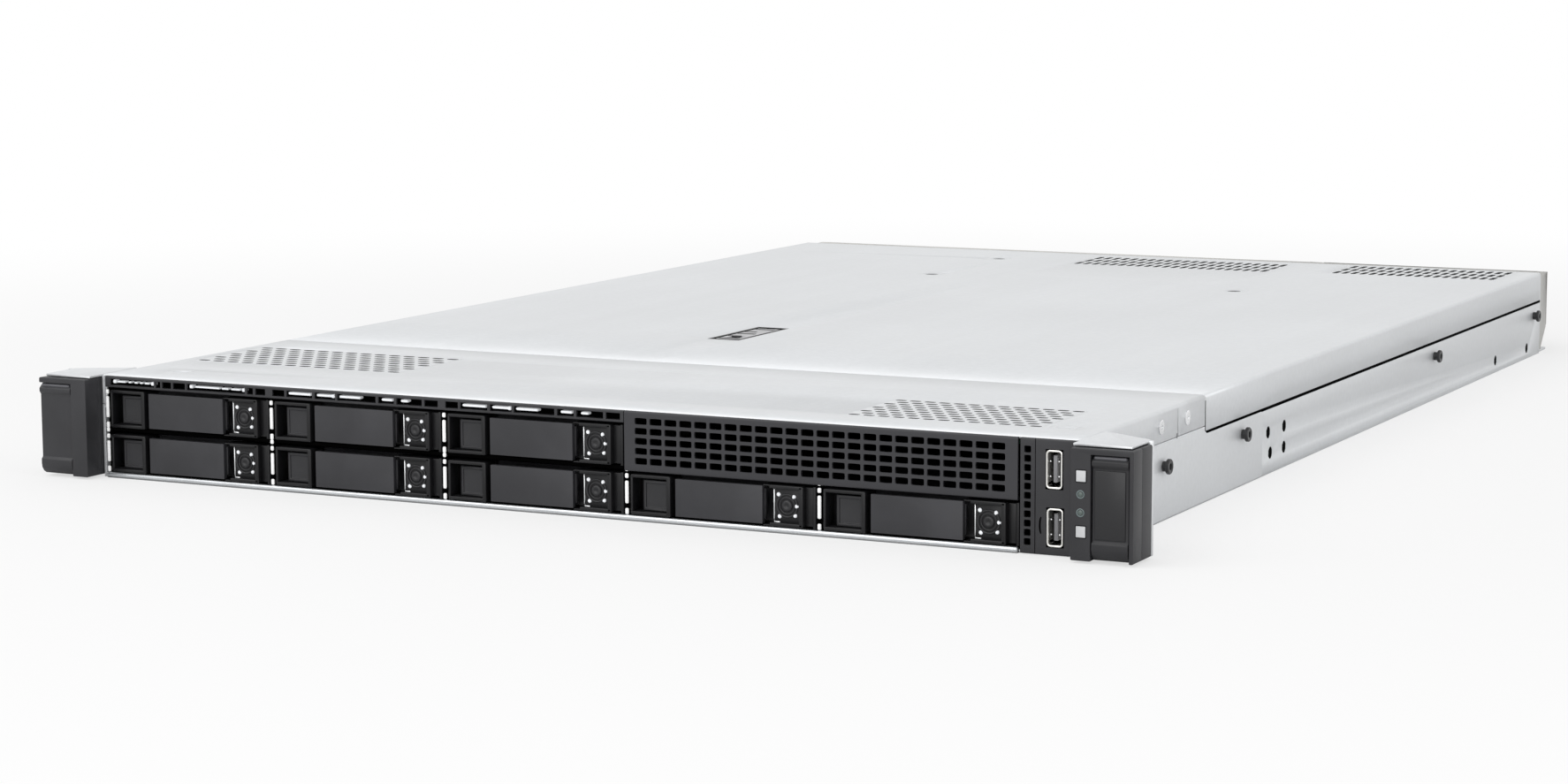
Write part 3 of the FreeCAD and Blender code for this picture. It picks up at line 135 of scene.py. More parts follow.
class Surface:
    """A mesh in the making: points and faces are added as whole arrays, then written at once."""

    def __init__(self):
        self.points, self.faces, self.count = [], [], 0

    def add(self, points, faces):
        """Add points (..., 3) and the faces that join them, each a row of point numbers."""
        points = np.asarray(points, float).reshape(-1, 3)
        self.faces.append(np.asarray(faces) + self.count)
        self.points.append(points)
        self.count += len(points)
        return self

    def grid(self, points, round_u=False, round_v=True):
        """A grid (rows, columns, 3), or copies of one (copies, rows, columns, 3), as quads.

        round_v joins the last column to the first and round_u the last row to the first.
        """
        points = np.asarray(points, float)
        points = points.reshape(-1, *points.shape[-3:])
        copies, count_u, count_v = points.shape[:3]
        numbers = np.arange(count_u * count_v).reshape(count_u, count_v)
        numbers = np.pad(numbers, ((0, int(round_u)), (0, int(round_v))), mode="wrap")
        quads = np.stack([numbers[:-1, :-1], numbers[:-1, 1:], numbers[1:, 1:], numbers[1:, :-1]], -1)
        quads = quads.reshape(1, -1, 4) + (np.arange(copies) * count_u * count_v)[:, None, None]
        return self.add(points, quads.reshape(-1, 4))

    def cap(self, points, flip=False):
        """A closed loop (points, 3), or copies of one, each filled with one face."""
        points = np.asarray(points, float)
        points = points.reshape(-1, *points.shape[-2:])
        numbers = np.arange(points.shape[0] * points.shape[1]).reshape(points.shape[:2])
        return self.add(points, numbers[:, ::-1] if flip else numbers)

    def blocks(self, low, high, radius, steps=2):
        """Boxes with rounded edges between the corners low and high, one or many.

        The eight parts of a sphere of the radius are pushed out to the corners of the smaller box inside.
        """
        low, high = np.atleast_2d(low), np.atleast_2d(high)
        unit, signs = ball(steps)
        middle, half = (low + high) / 2, (high - low) / 2
        radius = np.minimum(radius, half.min(1) * 0.999)[:, None, None, None]
        rings = middle[:, None, None] + signs * (half[:, None, None] - radius) + unit * radius
        return self.grid(rings).cap(rings[:, 0], flip=True).cap(rings[:, -1])

    def turned(self, section, places, axis, steps=32, round_u=False, mirror=False):
        """A section (radius, height) turned about an axis "x", "y" or "z" through each of the places.

        The points are (r cos t, r sin t, h) in the order that the axis asks.  mirror adds copies on the other
        side of X = 0, with their columns turned over so that faces stay outward.
        """
        section = np.asarray(section, float)
        angle = np.linspace(0, 2 * math.pi, steps, endpoint=False)
        a, b, c = section[:, :1] * np.cos(angle), section[:, :1] * np.sin(angle), section[:, 1:]
        points = rows(*{"x": (c, a, b), "y": (b, c, a), "z": (a, b, c)}[axis])
        points = points + np.atleast_2d(places)[:, None, None]
        if mirror:
            points = np.concatenate([points, (points * [-1, 1, 1])[:, :, ::-1]])
        return self.grid(points, round_u)

    def bar(self, outline, low, high, edge, axis="x", steps=3):
        """An outline carried along an axis from low to high, with quarter-round edges.

        At a turn t from the end the outline has moved inward by edge (1 - sin t) and along by edge (1 - cos t).
        """
        outline = np.asarray(outline, float)
        way = np.roll(outline, -1, 0) - np.roll(outline, 1, 0)
        outward = np.stack([way[:, 1], -way[:, 0]], -1) / np.linalg.norm(way, axis=1)[:, None]
        turn = np.linspace(0, math.pi / 2, steps + 1)
        inward = edge * (1 - np.sin(turn))
        along = edge * (1 - np.cos(turn))
        inward = np.concatenate([inward, inward[::-1]])
        place = np.concatenate([low + along, high - along[::-1]])[:, None]
        flat = outline - outward * inward[:, None, None]
        order = {"x": (place, flat[..., 0], flat[..., 1]), "y": (flat[..., 1], place, flat[..., 0])}[axis]
        rings = rows(*order)
        return self.grid(rings).cap(rings[0], flip=True).cap(rings[-1])

    def ring(self, centre, half, corner, section, steps=3):
        """A section of (outward, forward) points carried round a rounded rectangle in the X-Z plane."""
        section = np.asarray(section, float)
        flat = rounded_rectangle(*half, corner, steps) + (
            rounded_rectangle(1, 1, 1, steps) * section[:, :1, None])
        return self.grid(rows(flat[..., 0], -section[:, 1:], flat[..., 1])[:, ::-1] + centre)

    def sheet(self, fold, lines_u, lines_v, fields=(), cuts=()):
        """A pierced lattice laid along a folded profile in Y and Z, and straight along X."""
        points, quads = pierced(lines_u, lines_v, fields, cuts)
        across = fold.at(points[:, 0])
        return self.add(rows(points[:, 1], across[:, 0], across[:, 1]), quads)

    def mesh(self, name):
        """Write the points and faces into a mesh."""
        mesh = bpy.data.meshes.new(name)
        sizes = np.concatenate([np.full(len(faces), faces.shape[1]) for faces in self.faces])
        mesh.vertices.add(self.count)
        mesh.vertices.foreach_set("co", np.concatenate(self.points).ravel() * MM)
        mesh.loops.add(int(sizes.sum()))
        mesh.loops.foreach_set("vertex_index", np.concatenate([faces.ravel() for faces in self.faces]))
        mesh.polygons.add(len(sizes))
        mesh.polygons.foreach_set("loop_start", np.concatenate([[0], np.cumsum(sizes)[:-1]]))
        mesh.polygons.foreach_set("use_smooth", np.full(len(sizes), True))
        mesh.update(calc_edges=True)
        mesh.validate()
        return mesh

    def make(self, name, material, body, slot, node=None, sharp=None, welded=True):
        """Write the mesh and let its object ride on a body, in place of a node if one is named."""
        thing = settle(name, self.mesh(name), material, body, node)
        if welded:
            remesh(thing.data, lambda work: (
                bmesh.ops.remove_doubles(work, verts=work.verts, dist=WELD * MM),
                bmesh.ops.recalc_face_normals(work, faces=work.faces)))
        if sharp:
            thing.data.set_sharp_from_angle(angle=math.radians(sharp))
        return thing


def settle(name, mesh, material, body, node=None):
    """Object of a mesh with its finish, riding on a body, and standing for a node if one is named."""
    thing = bpy.data.objects.new(name, mesh)
    bpy.context.scene.collection.objects.link(thing)
    mesh.materials.clear()
    mesh.materials.append(finish(material))
    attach(thing, body)
    if node:
        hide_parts(node)
    return thing


def remesh(mesh, change):
    """Run a change on the mesh's faces."""
    work = bmesh.new()
    work.from_mesh(mesh)
    change(work)
    work.to_mesh(mesh)
    work.free()


def round_edges(thing, width, segments=2, angle=28):
    """Bevel the sharp edges, with shading that stays flat on the faces."""
    bevel = thing.modifiers.new("edges", "BEVEL")
    bevel.width = width * MM
    bevel.segments = segments
    bevel.limit_method = "ANGLE"
    bevel.angle_limit = math.radians(angle)
    bevel.harden_normals = True
    bevel.use_clamp_overlap = True
    return thing


def thicken(thing, thickness):
    """Give a sheet its thickness behind its outer face."""
    solid = thing.modifiers.new("sheet", "SOLIDIFY")
    solid.thickness = thickness * MM
    solid.offset = -1
    solid.use_even_offset = True
    return thing


def moulded(node, material, width, segments=2):
    """Copy of a node with its flat faces made whole and its edges rounded; it stands for the node."""
    source = frame["nodes"][node]
    mesh = source.data.copy()
    remesh(mesh, lambda work: (
        bmesh.ops.remove_doubles(work, verts=work.verts, dist=2 * WELD * MM),
        bmesh.ops.dissolve_limit(work, angle_limit=math.radians(2), verts=work.verts, edges=work.edges)))
    mesh.polygons.foreach_set("use_smooth", np.full(len(mesh.polygons), True))
    return round_edges(settle(node + "_finish", mesh, material, source["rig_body"], node), width, segments)


def coat(material, *nodes):
    """Give CAD nodes a finish where their own shape stays."""
    for name in nodes:
        mesh = frame["nodes"][name].data
        mesh.materials.clear()
        mesh.materials.append(finish(material))


CORNERS = np.array([[1, 1], [-1, 1], [-1, -1], [1, -1]])


def rounded_rectangle(half_u, half_v, radius, steps):
    """Corner arcs of a rectangle, steps + 1 points each, as an array (points, 2) run anticlockwise.

    A point is its corner, drawn in by the radius, plus radius (cos t, sin t).
    """
    angle = (np.arange(4)[:, None] * (math.pi / 2) + np.linspace(0, math.pi / 2, steps + 1)).ravel()
    middle = np.repeat(CORNERS, steps + 1, axis=0) * [half_u - radius, half_v - radius]
    return middle + radius * np.stack([np.cos(angle), np.sin(angle)], -1)


def ball(steps):
    """Unit sphere as rings from the lower pole's circle up, each quarter and each half with its own end points.

    Returns the grid and, for every point, the signs of the corner that it belongs to.
    """
    turn = np.linspace(0, math.pi / 2, steps + 1)
    rise = np.concatenate([turn - math.pi / 2, turn])[:, None]
    circle = rounded_rectangle(1, 1, 1, steps)
    grid = rows(np.cos(rise) * circle[:, 0], np.cos(rise) * circle[:, 1], np.sin(rise))
    corner = np.repeat(CORNERS, steps + 1, axis=0)
    push = np.repeat([-1.0, 1.0], steps + 1)[:, None]
    return grid, rows(corner[:, 0], corner[:, 1], push)


def ring_section(radius, tube, steps=8):
    """Closed section of a torus: (radius + tube cos t, tube sin t)."""
    angle = np.linspace(0, 2 * math.pi, steps, endpoint=False)
    return np.stack([radius + tube * np.cos(angle), tube * np.sin(angle)], -1)


def filleted(corners, radii, steps=4):
    """Closed outline whose corners are rounded: each corner gives an arc of steps + 1 points.

    With h half the angle at the corner, the arc's centre lies on the bisector at radius / sin h from the corner,
    and the arc starts on the side that comes in, at radius / tan h from the corner.
    """
    corners = np.asarray(corners, float)
    radii = np.broadcast_to(radii, len(corners))
    to_last = np.roll(corners, 1, 0) - corners
    to_next = np.roll(corners, -1, 0) - corners
    last = to_last / np.linalg.norm(to_last, axis=1)[:, None]
    after = to_next / np.linalg.norm(to_next, axis=1)[:, None]
    half = np.arccos(np.clip((last * after).sum(1), -1, 1)) / 2
    middle = last + after
    middle /= np.linalg.norm(middle, axis=1)[:, None]
    centre = corners + middle * (radii / np.sin(half))[:, None]
    start = corners + last * (radii / np.tan(half))[:, None] - centre
    turn = np.sign(last[:, 0] * after[:, 1] - last[:, 1] * after[:, 0]) * (2 * half - math.pi)
    swing = turn[:, None] * np.linspace(0, 1, steps + 1)
    x = start[:, :1] * np.cos(swing) - start[:, 1:] * np.sin(swing)
    y = start[:, :1] * np.sin(swing) + start[:, 1:] * np.cos(swing)
    return (np.stack([x, y], -1) + centre[:, None]).reshape(-1, 2)


# ---------------------------------------------------------------- sheet metal
def pierced(lines_u, lines_v, fields=(), cuts=()):
    """Flat lattice with holes: returns points (n, 2) and quads.

    A field is (centres (k, 2), half size, block (across, up), power): each hole takes the place of a block of
    quads about its centre.  Its rim, x = a |cos t|^power and y = b |sin t|^power with their signs, has as many
    points as the block's border and is joined to it.  cuts are (low u, high u, low v, high v) rectangles whose
    quads are left out.
    """
    flat = np.stack(np.meshgrid(lines_u, lines_v, indexing="ij"), -1).reshape(-1, 2)
    numbers = np.arange(len(flat)).reshape(len(lines_u), len(lines_v))
    quads = np.stack([numbers[:-1, :-1], numbers[1:, :-1], numbers[1:, 1:], numbers[:-1, 1:]], -1)
    keep = np.ones(quads.shape[:2], bool)
    middle_u = (lines_u[:-1] + lines_u[1:]) / 2
    middle_v = (lines_v[:-1] + lines_v[1:]) / 2
    for low_u, high_u, low_v, high_v in cuts:
        inside_u = (middle_u > low_u) & (middle_u < high_u)
        inside_v = (middle_v > low_v) & (middle_v < high_v)
        keep &= ~(inside_u[:, None] & inside_v)
    points, faces, total = [flat], [], len(flat)
    for centres, half, (across, up), power in fields:
        middle = [np.abs(lines - centres[:, k, None]).argmin(1) for k, lines in enumerate((lines_u, lines_v))]
        first = np.stack(middle, -1) - [across // 2, up // 2]
        step_u, step_v = np.arange(across), np.arange(up)
        keep[(first[:, :1] + step_u)[:, :, None], (first[:, 1:] + step_v)[:, None]] = False
        border_u = np.concatenate([step_u, np.full(up, across), across - step_u, np.zeros(up, int)])
        border_v = np.concatenate([np.zeros(across, int), step_v, np.full(across, up), up - step_v])
        border = numbers[first[:, :1] + border_u, first[:, 1:] + border_v]
        angle = np.arctan2(border_v / up * 2 - 1, border_u / across * 2 - 1)
        round_way = np.stack([np.cos(angle), np.sin(angle)], -1)
        rim = centres[:, None] + np.sign(round_way) * np.abs(round_way) ** power * half
        rim_number = total + np.arange(rim.shape[0] * rim.shape[1]).reshape(rim.shape[:2])
        total += rim_number.size
        points.append(rim.reshape(-1, 2))
        ring = np.stack([border, np.roll(border, -1, 1), np.roll(rim_number, -1, 1), rim_number], -1)
        faces.append(ring.reshape(-1, 4))
    return np.concatenate(points), np.concatenate([quads[keep]] + faces)


def merged(*runs):
    """Lines of a lattice from several rows of places; places that coincide are kept once."""
    lines = np.sort(np.concatenate([np.atleast_1d(run) for run in runs]).astype(float))
    return lines[np.concatenate([[True], np.diff(lines) > WELD / 2])]


class Fold:
    """Profile of a folded sheet that a lattice is laid on: straight runs between its corners, and bend arcs.

    points are its places, along their distances from its start, and middle the ends of the run between its
    first two bends.
    """

    def __init__(self, corners, radius):
        bends = filleted(corners, radius, BEND_STEPS).reshape(len(corners), -1, 2)[1:-1]
        self.points = np.concatenate([corners[:1], *bends, corners[-1:]])
        self.along = np.concatenate([[0], np.cumsum(np.linalg.norm(np.diff(self.points, axis=0), axis=1))])
        self.middle = self.along[BEND_STEPS + 1:BEND_STEPS + 3]

    def at(self, distance):
        """Points of the profile at distances along it."""
        return np.stack([np.interp(distance, self.along, self.points[:, k]) for k in range(2)], -1)


def vent_field(x, y, columns, rows, half, block, power, staggered=False):
    """Limits of a rectangle of pierced vents, columns by rows, and its points and quads.

    The odd rows are shifted by half a pitch if staggered.
    """
    across, up = np.meshgrid(np.arange(columns), np.arange(rows), indexing="ij")
    across = across + 0.5 + 0.5 * (up % 2) * staggered
    centres = np.stack([x[0] + across * (x[1] - x[0]) / columns, y[0] + (up + 0.5) * (y[1] - y[0]) / rows], -1)
    holes = centres[across < columns - 0.4], half, block, power
    return (*x, *y), pierced(np.linspace(*x, columns * block[0] + 1), np.linspace(*y, rows * block[1] + 1), [holes])


# ---------------------------------------------------------------- covers
SHARP = 35              # faces that meet at more than this angle keep a sharp edge
LATCH_RIM = 2.2         # width of the latch frame that the cover lies over
DISHES = (-74.8, 181.8, 6.5), (-75.7, 275.8, 6.5), (99.5, 165.8, 6.5)      # X, Y and half side of the patch
FRONT_DISHES = (-192, -322, 5), (201, -316, 5)
FRONT_SLIT = (-242.0, -241.2)
PIN_HOLE = (201, -203.7)


def dish(surface, centre, top, size):
    """Square patch of a flat sheet with a round dish: rings about its middle, each with a radius and a depth.

    A ring is the patch's round rim, scaled to the ring's radius and lowered by its depth.
    """
    steps = np.array([(0.8 * size, 0.0), (0.72 * size, 0.12), (0.62 * size, 0.55), (0.3 * size, 0.6)])
    rim = steps[0, 0]
    points, quads = pierced(*[np.linspace(-size, size, 5) + c for c in centre],
                            [(np.array([centre]), (rim, rim), (4, 4), 1.0)])
    surface.add(np.insert(points, 2, top, axis=1), quads)
    ring = (points[-16:] - centre) / rim
    rings = rows(ring[:, 0] * steps[:, :1] + centre[0], ring[:, 1] * steps[:, :1] + centre[1], top - steps[:, 1:])
    surface.grid(rings[:, ::-1]).cap(rings[-1])


def folded_cover(node, shape, slits=(), fields=(), dishes=(), openings=()):
    """A cover: the profile side flange, top, side flange, carried along Y, with all its punchings."""
    low, high = span(node)
    body = frame["nodes"][node]["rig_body"]
    fold = Fold([(low[0], low[2]), (low[0], high[2]), (high[0], high[2]), (high[0], low[2])], shape.bend / MM)
    start = sum(fold.middle) / 2 - (low[0] + high[0]) / 2
    cuts = [box for box, lattice in fields] + list(openings)
    cuts += [(x - r, x + r, y - r, y + r) for x, y, r in dishes]
    lines_u = merged(fold.along, *[start + np.array(cut[:2]) for cut in cuts])
    lines_v = merged((low[1], high[1]), *[cut[2:] for cut in cuts], *slits)
    holes = [(start + a, start + b, c, d) for a, b, c, d in cuts]
    holes += [(a, b, *slit) for slit in slits for a, b in (fold.along[:2], fold.along[-2:])]
    points, quads = pierced(lines_u, lines_v, (), holes)
    across = fold.at(points[:, 0])
    sheet = Surface().add(rows(across[:, 0], points[:, 1], across[:, 1]), quads)
    for x, y, r in dishes:
        dish(sheet, (x, y), high[2], r)
    thicken(sheet.make(node + "_sheet", "steel", body, "zinc_steel", node, SHARP), shape.sheet / MM)
    vents = Surface()
    for box, (points, quads) in fields:
        vents.add(np.insert(points, 2, high[2], axis=1), quads)
    grille = thicken(vents.make(node + "_vents", "steel", body, "zinc_steel", node, SHARP), shape.sheet / MM)
    # the walls of the vent holes get a near-black paint: painted shade inside the holes
    grille.data.materials.append(finish("punched"))
    grille.modifiers["sheet"].material_offset_rim = 1


def covers(shape):
    """Front cover, main cover with its bungs and pin hole, and the latch."""
    fields = [vent_field((-210, -107), (-289, -237), 14, 9, (2.9, 1.5), (4, 2), 0.9, True),
              vent_field((113, 193), (-321, -273), 13, 9, (2.4, 1.3), (4, 2), 0.7, True)]
    folded_cover("front_cover", shape, [FRONT_SLIT], fields, FRONT_DISHES)
    fields = [vent_field((-28, 83.5), (262.5, 308), 22, 3, (1.5, 6.4), (2, 4), 0.55),
              vent_field((116, 205), (270.5, 316), 18, 3, (1.5, 6.4), (2, 4), 0.55)]
    low, high = span("cover_latch_frame")
    opening = (low[0] + LATCH_RIM, high[0] - LATCH_RIM, low[1] + LATCH_RIM, high[1] - LATCH_RIM)
    folded_cover("main_cover", shape, (), fields, DISHES, [opening])
    bung = [(3.6, -0.62), (3.5, -0.42), (1.5, -0.36), (1.2, -0.5), (POLE, -0.55)]
    places = [(x, y, high[2]) for x, y, r in DISHES]
    Surface().turned(bung, places, "z", 24).make("cover_bungs", "punched", "main_cover", "black_steel", sharp=SHARP)
    moulded("cover_latch_frame", "bezel", 0.4)
    moulded("cover_latch_lever", "latch", 0.35)
    latch(opening, high[2])
    # a near-black disc in the pin hole: painted shade inside it
    hole = [(1.3, -0.08), (1.2, -0.01), (POLE, -0.01)]
    Surface().turned(hole, (*PIN_HOLE, high[2]), "z", 16).make(
        "cover_pin_hole", "void", "main_cover", "black_steel")


def latch(opening, top):
    """Near-black rim round the latch's opening and a finger lip in front of it, painted shade at the opening's edges,
    and wedge-shaped ribs on the lever.
    """
    x0, x1, y0, y1 = opening
    wide, lip = 2.0, 5.0
    # left and right side, foot and head of the rim, then the lip, which is off centre
    low = [(x0, y0), (x1 - wide, y0), (x0, y0), (x0, y1 - wide), (x0, y0 - lip)]
    high = [(x0 + wide, y1), (x1, y1), (x1, y0 + 1.5 * wide), (x1, y1), (x0 * 0.4 + x1 * 0.6, y0 + 0.4)]
    low, high = np.insert(low, 2, top - 1.2, axis=1), np.insert(high, 2, top - 0.01, axis=1)
    Surface().blocks(low, high, 0.2).make("cover_latch_rim", "void", "main_cover", "black_plastic")
    low, high = span("cover_latch_lever")
    y = low[1] + (high[1] - low[1]) * np.array([0.1, 0.3, 0.5, 0.66, 0.88])
    reach = (high[0] - low[0] - 2) * np.array([0.9, 0.55, 0.8, 0.5, 0.85])
    start, end = rows(low[0] + 1, y, high[2] - 0.3), rows(low[0] + 1 + reach, y + 2.4, high[2] + 0.12)
    Surface().blocks(start, end, 0.1, 1).make("cover_latch_ribs", "release", "cover_latch", "latch_plastic")


# ---------------------------------------------------------------- chassis
SPOOLS = (-258.2, -165.8, 116.2, 305.9)     # places along the side, at one height
SPOOL_HEIGHT = 21.3
RIVETS = (-260.2, -231.1)
RIVET_HEIGHT = 36.5
SPOOL_SUNK = 0.6        # how far a spool's neck goes into the wall
SIDE_STEP = -140.7      # where the side wall's front skin ends
SKIN_FRONT = 12         # distance of that skin's front end from the tray's
SIDE_HOLES = ((-132.2, 17.5), (-111.2, 17.5), (-129.2, 8.6), (-111.2, 8.6), (230.1, 6.2), (293.2, 5.5))
SILL = (-214.4, 193.6)


def chassis():
    """Tray, spools, front skins and holes of its sides, sill, seams and rivets."""
    moulded("chassis_tray", "steel", 0.2, 1)
    low, high = span("chassis_tray")
    wall, neck, head = high[0] - SPOOL_SUNK, 2.0, 3.0
    reach = span("rail_spools")[1][0] - wall
    # a spool's section (radius, distance from the wall), from the wall outwards and into its socket
    spool = [(neck, 0), (neck, reach - 1.5), (head * 0.93, reach - 1.45), (head, reach - 1.25),
             (head, reach - 0.3), (head * 0.9, reach), (head * 0.55, reach), (head * 0.45, reach - 0.2),
             (head * 0.4, reach - 1.0), (0.01, reach - 1.0)]
    Surface().turned(spool, [(wall, y, SPOOL_HEIGHT) for y in SPOOLS], "x", 28, mirror=True).make(
        "rail_spool_turnings", "spool", "chassis", "black_steel", "rail_spools", SHARP)

    flange = span("front_cover")[0][2]
    front, step = low[1] + SKIN_FRONT, SIDE_STEP
    outline = filleted([(front, 0.5), (step, 0.5), (step, flange - 3.2), (-209.0, flange - 3.2),
                        (-213.0, flange - 0.8), (front, flange - 0.8)], 1.2)
    skins = Surface().bar(outline, high[0] - 0.4, high[0] + 0.35, 0.2).bar(outline, low[0] - 0.35, low[0] + 0.4, 0.2)
    skins.make("side_skins", "steel", "chassis", "zinc_steel", sharp=SHARP)
    # near-black discs in the side holes: painted shade inside them
    hole = [(2.66, -0.5), (2.62, -0.14), (POLE, -0.14)]
    Surface().turned(hole, [(high[0], y, z) for y, z in SIDE_HOLES], "x", 24, mirror=True).make(
        "side_holes", "void", "chassis", "black_steel")
    Surface().blocks((SILL[0], low[1] - 0.25, 0.35), (SILL[1], low[1] + 2.2, 2.25), 0.85, 4).make(
        "sill_hem", "sill", "chassis", "zinc_steel")
    # a darker steel strip under the hem: painted shade of the hem's underside
    Surface().blocks((SILL[0], low[1] - 0.12, 0.02), (SILL[1], low[1] + 2.2, 0.75), 0.2).make(
        "sill_underside", "sill_shade", "chassis", "zinc_steel")

    (front, base), top = span("main_cover")[0][1:], span("main_cover")[1][2]
    sunk, out = high[0] - 1.0, high[0] + 0.02
    # near-black bars, painted shadow in the gap under the long flange and in the upright seams of the covers and of
    # the side: limits in X, Y and Z
    seams = np.array([
        [(sunk, out), (front, 319.0), (base - 1.1, base + 0.25)],
        [(sunk, out), (front - 0.8, front + 0.1), (base - 1.1, top - 2.4)],
        [(sunk, out + 0.04), (step - 0.4, step + 0.4), (0.6, base - 0.9)],
        [(sunk, out), (front - 33.0, front - 32.3), (flange - 1.0, flange + 1.4)]])
    other = seams.copy()
    other[:, 0] = -seams[:, 0, ::-1]
    seams = np.concatenate([seams, other])
    Surface().blocks(seams[:, :, 0], seams[:, :, 1], 0.1, 1).make("side_seams", "void", "chassis", "black_steel")

    # pan of a flat rivet: a low dome with a rim groove and a small socket
    dome = [(2.9, -0.6), (2.9, -0.25), (2.5, -0.08), (1.2, 0), (0.9, -0.1), (0.8, -0.5), (0.01, -0.5)]
    places = [(span("cover_screws")[1][0], y, RIVET_HEIGHT) for y in RIVETS]
    Surface().turned(dome, places, "x", 24, mirror=True).make(
        "cover_rivets", "bright", "chassis", "screw_zinc", "cover_screws", SHARP)


# ---------------------------------------------------------------- drives
# bars of a drive's bezel, from its left end, its face and its foot: limits in X, Y and Z
BEZEL = np.array([
    # frame about the release key: left, right, foot, head
    [(0.3, 1.3), (0.3, 8.0), (0.3, 15.3)], [(16.0, 17.7), (0.0, 8.0), (0.2, 15.4)],
    [(0.5, 17.5), (0.2, 8.0), (0.0, 1.3)], [(0.5, 17.5), (0.2, 8.0), (14.3, 15.6)],
    # frame about the dial: foot, head, right post, the block that carries the dial, and the end set back
    [(59.9, 73.6), (0.0, 7.0), (0.0, 1.3)], [(59.9, 73.6), (0.0, 7.0), (14.3, 15.6)],
    [(57.3, 60.2), (0.0, 7.0), (0.0, 0.45)], [(57.3, 60.2), (0.0, 7.0), (15.15, 15.6)],
    [(72.1, 73.9), (0.0, 7.0), (0.1, 15.5)], [(61.4, 72.4), (1.8, 7.0), (1.0, 14.6)],
    [(73.7, 77.2), (2.4, 7.0), (0.3, 15.3)],
    # plates behind them, clear of the release key's stroke and of the handle's swing
    [(0.2, 17.6), (7.7, 9.0), (0.2, 15.4)], [(59.9, 77.0), (6.6, 9.0), (0.2, 15.4)]])
CARRIER_FRONT = 8.0     # depth of the carrier's own front, which the bezel stands for
DIAL = (66.6, 1.8, 7.8)
KNOB = [(2.3, 0.3), (2.2, -0.45), (1.7, -0.75), (0.9, -0.8), (0.7, -0.5), (POLE, -0.45)]
# lamps about a dial, across and up from its middle, and the section of one: a pin with a dome of radius 0.8
LAMPS = np.array([(-3.6, 4.1), (2.8, 3.5), (4.0, 0.0), (3.3, -3.6), (-3.2, -4.2)])
DOME = np.linspace(0, math.pi / 2, 4)
LAMP = [(0.8, 0.9), *zip(np.maximum(0.8 * np.cos(DOME), POLE), -0.45 * np.sin(DOME))]
# bright contact strip beside a drive: runs of it in Z from the drive's foot, the last one in the lower row alone
STRIP = np.array([(-0.2, 2.2), (4.0, 12.8), (13.8, 15.7), (16.5, 18.3)])
ROW_SPLIT = 10.0


def drives(shape):
    """Drive carriers with their handles, buttons, dials and lamps, and the strips and posts between them."""
    edge = shape.edge / MM
    strip, posts = Surface(), Surface()
    for k in range(1, 9):
        name = "drive_carrier_%d" % k
        corner = span(name)[0]
        face = (0, (corner[1] + CARRIER_FRONT) * MM, 0)
        remesh(moulded(name, "plastic", edge * 0.5).data, lambda work: bmesh.ops.bisect_plane(
            work, geom=work.verts[:] + work.edges[:] + work.faces[:], dist=1e-7, plane_co=face,
            plane_no=(0, -1, 0), clear_outer=True))
        moulded("drive_handle_%d" % k, "handle", edge * 1.3)
        moulded("drive_button_%d" % k, "release", edge)
        Surface().blocks(corner + BEZEL[:, :, 0], corner + BEZEL[:, :, 1], 0.32).make(
            "drive_bezel_%d" % k, "bezel", name, "black_plastic", name)
        middle = corner + DIAL
        Surface().turned(ring_section(4.3, 0.4), middle, "y", round_u=True).turned(
            ring_section(3.1, 0.35), middle, "y", round_u=True).turned(KNOB, middle, "y", 24).make(
            "drive_rosette_%d" % k, "dial", name, "black_plastic")
        # the lamps about the dial glow faintly: painted light on them
        Surface().turned(LAMP, middle + rows(LAMPS[:, 0], -0.05, LAMPS[:, 1]), "y", 14).make(
            "drive_lamps_%d" % k, "lamp", name, "key_grey")
        Surface().blocks(corner + [(60.9, 1.6, 1.2), (60.9, 1.6, 1.2)],
                         corner + [(61.4, 2.6, 14.2), (63.6, 2.3, 1.7)], 0.15, 1).make(
            "drive_dial_edge_%d" % k, "bright", name, "plug_chrome")
        foot, head = STRIP[:4 if corner[2] < ROW_SPLIT else 3].T
        strip.blocks(corner + rows(-2.2, 0.3, foot), corner + rows(-0.7, 1.3, head), 0.6, 3)
        posts.blocks(corner + (77.7, 0.8, -0.2), corner + (78.9, 8.0, 15.8), 0.3)
    # the contact strips glow faintly: painted glint on them
    strip.make("drive_guide_springs", "strip", "chassis", "plug_chrome")
    posts.make("drive_dividers", "bezel", "chassis", "black_plastic")
    # the black cage is made near-black, which also paints the shade between the carriers
    coat("void", "drive_cage")


# ---------------------------------------------------------------- front
COLUMN = 81.9       # pitch of the drive columns
# windows of the bezel over the first column and over the others, from the column's left edge, then the light
# pipes and the square ends seen in them
WINDOWS = (((3.2, 25.4), (26.4, 28.6), (29.6, 34.0), (35.0, 41.0), (42.0, 70.6), (71.8, 74.6), (75.8, 80.6)),
           ((2.2, 8.0), (9.0, 21.4), (22.6, 32.4), (33.4, 51.6), (52.8, 60.2), (61.4, 73.2), (74.4, 80.6)))
PIPES = (((6.4, 10.6), (12.0, 13.4), (15.0, 16.6), (17.8, 19.2), (20.2, 22.6), (45.6, 57.8), (58.8, 62.2),
          (63.4, 68.0)),
         ((9.6, 20.4), (23.2, 31.8), (34.0, 44.0), (54.0, 59.2), (63.0, 66.4)))
ENDS = ((5.0, 24.2, 43.6, 69.6), (31.0,))
SLOT = (4, 4), 0.3      # quads of a vent's block, and the power that squares its rim


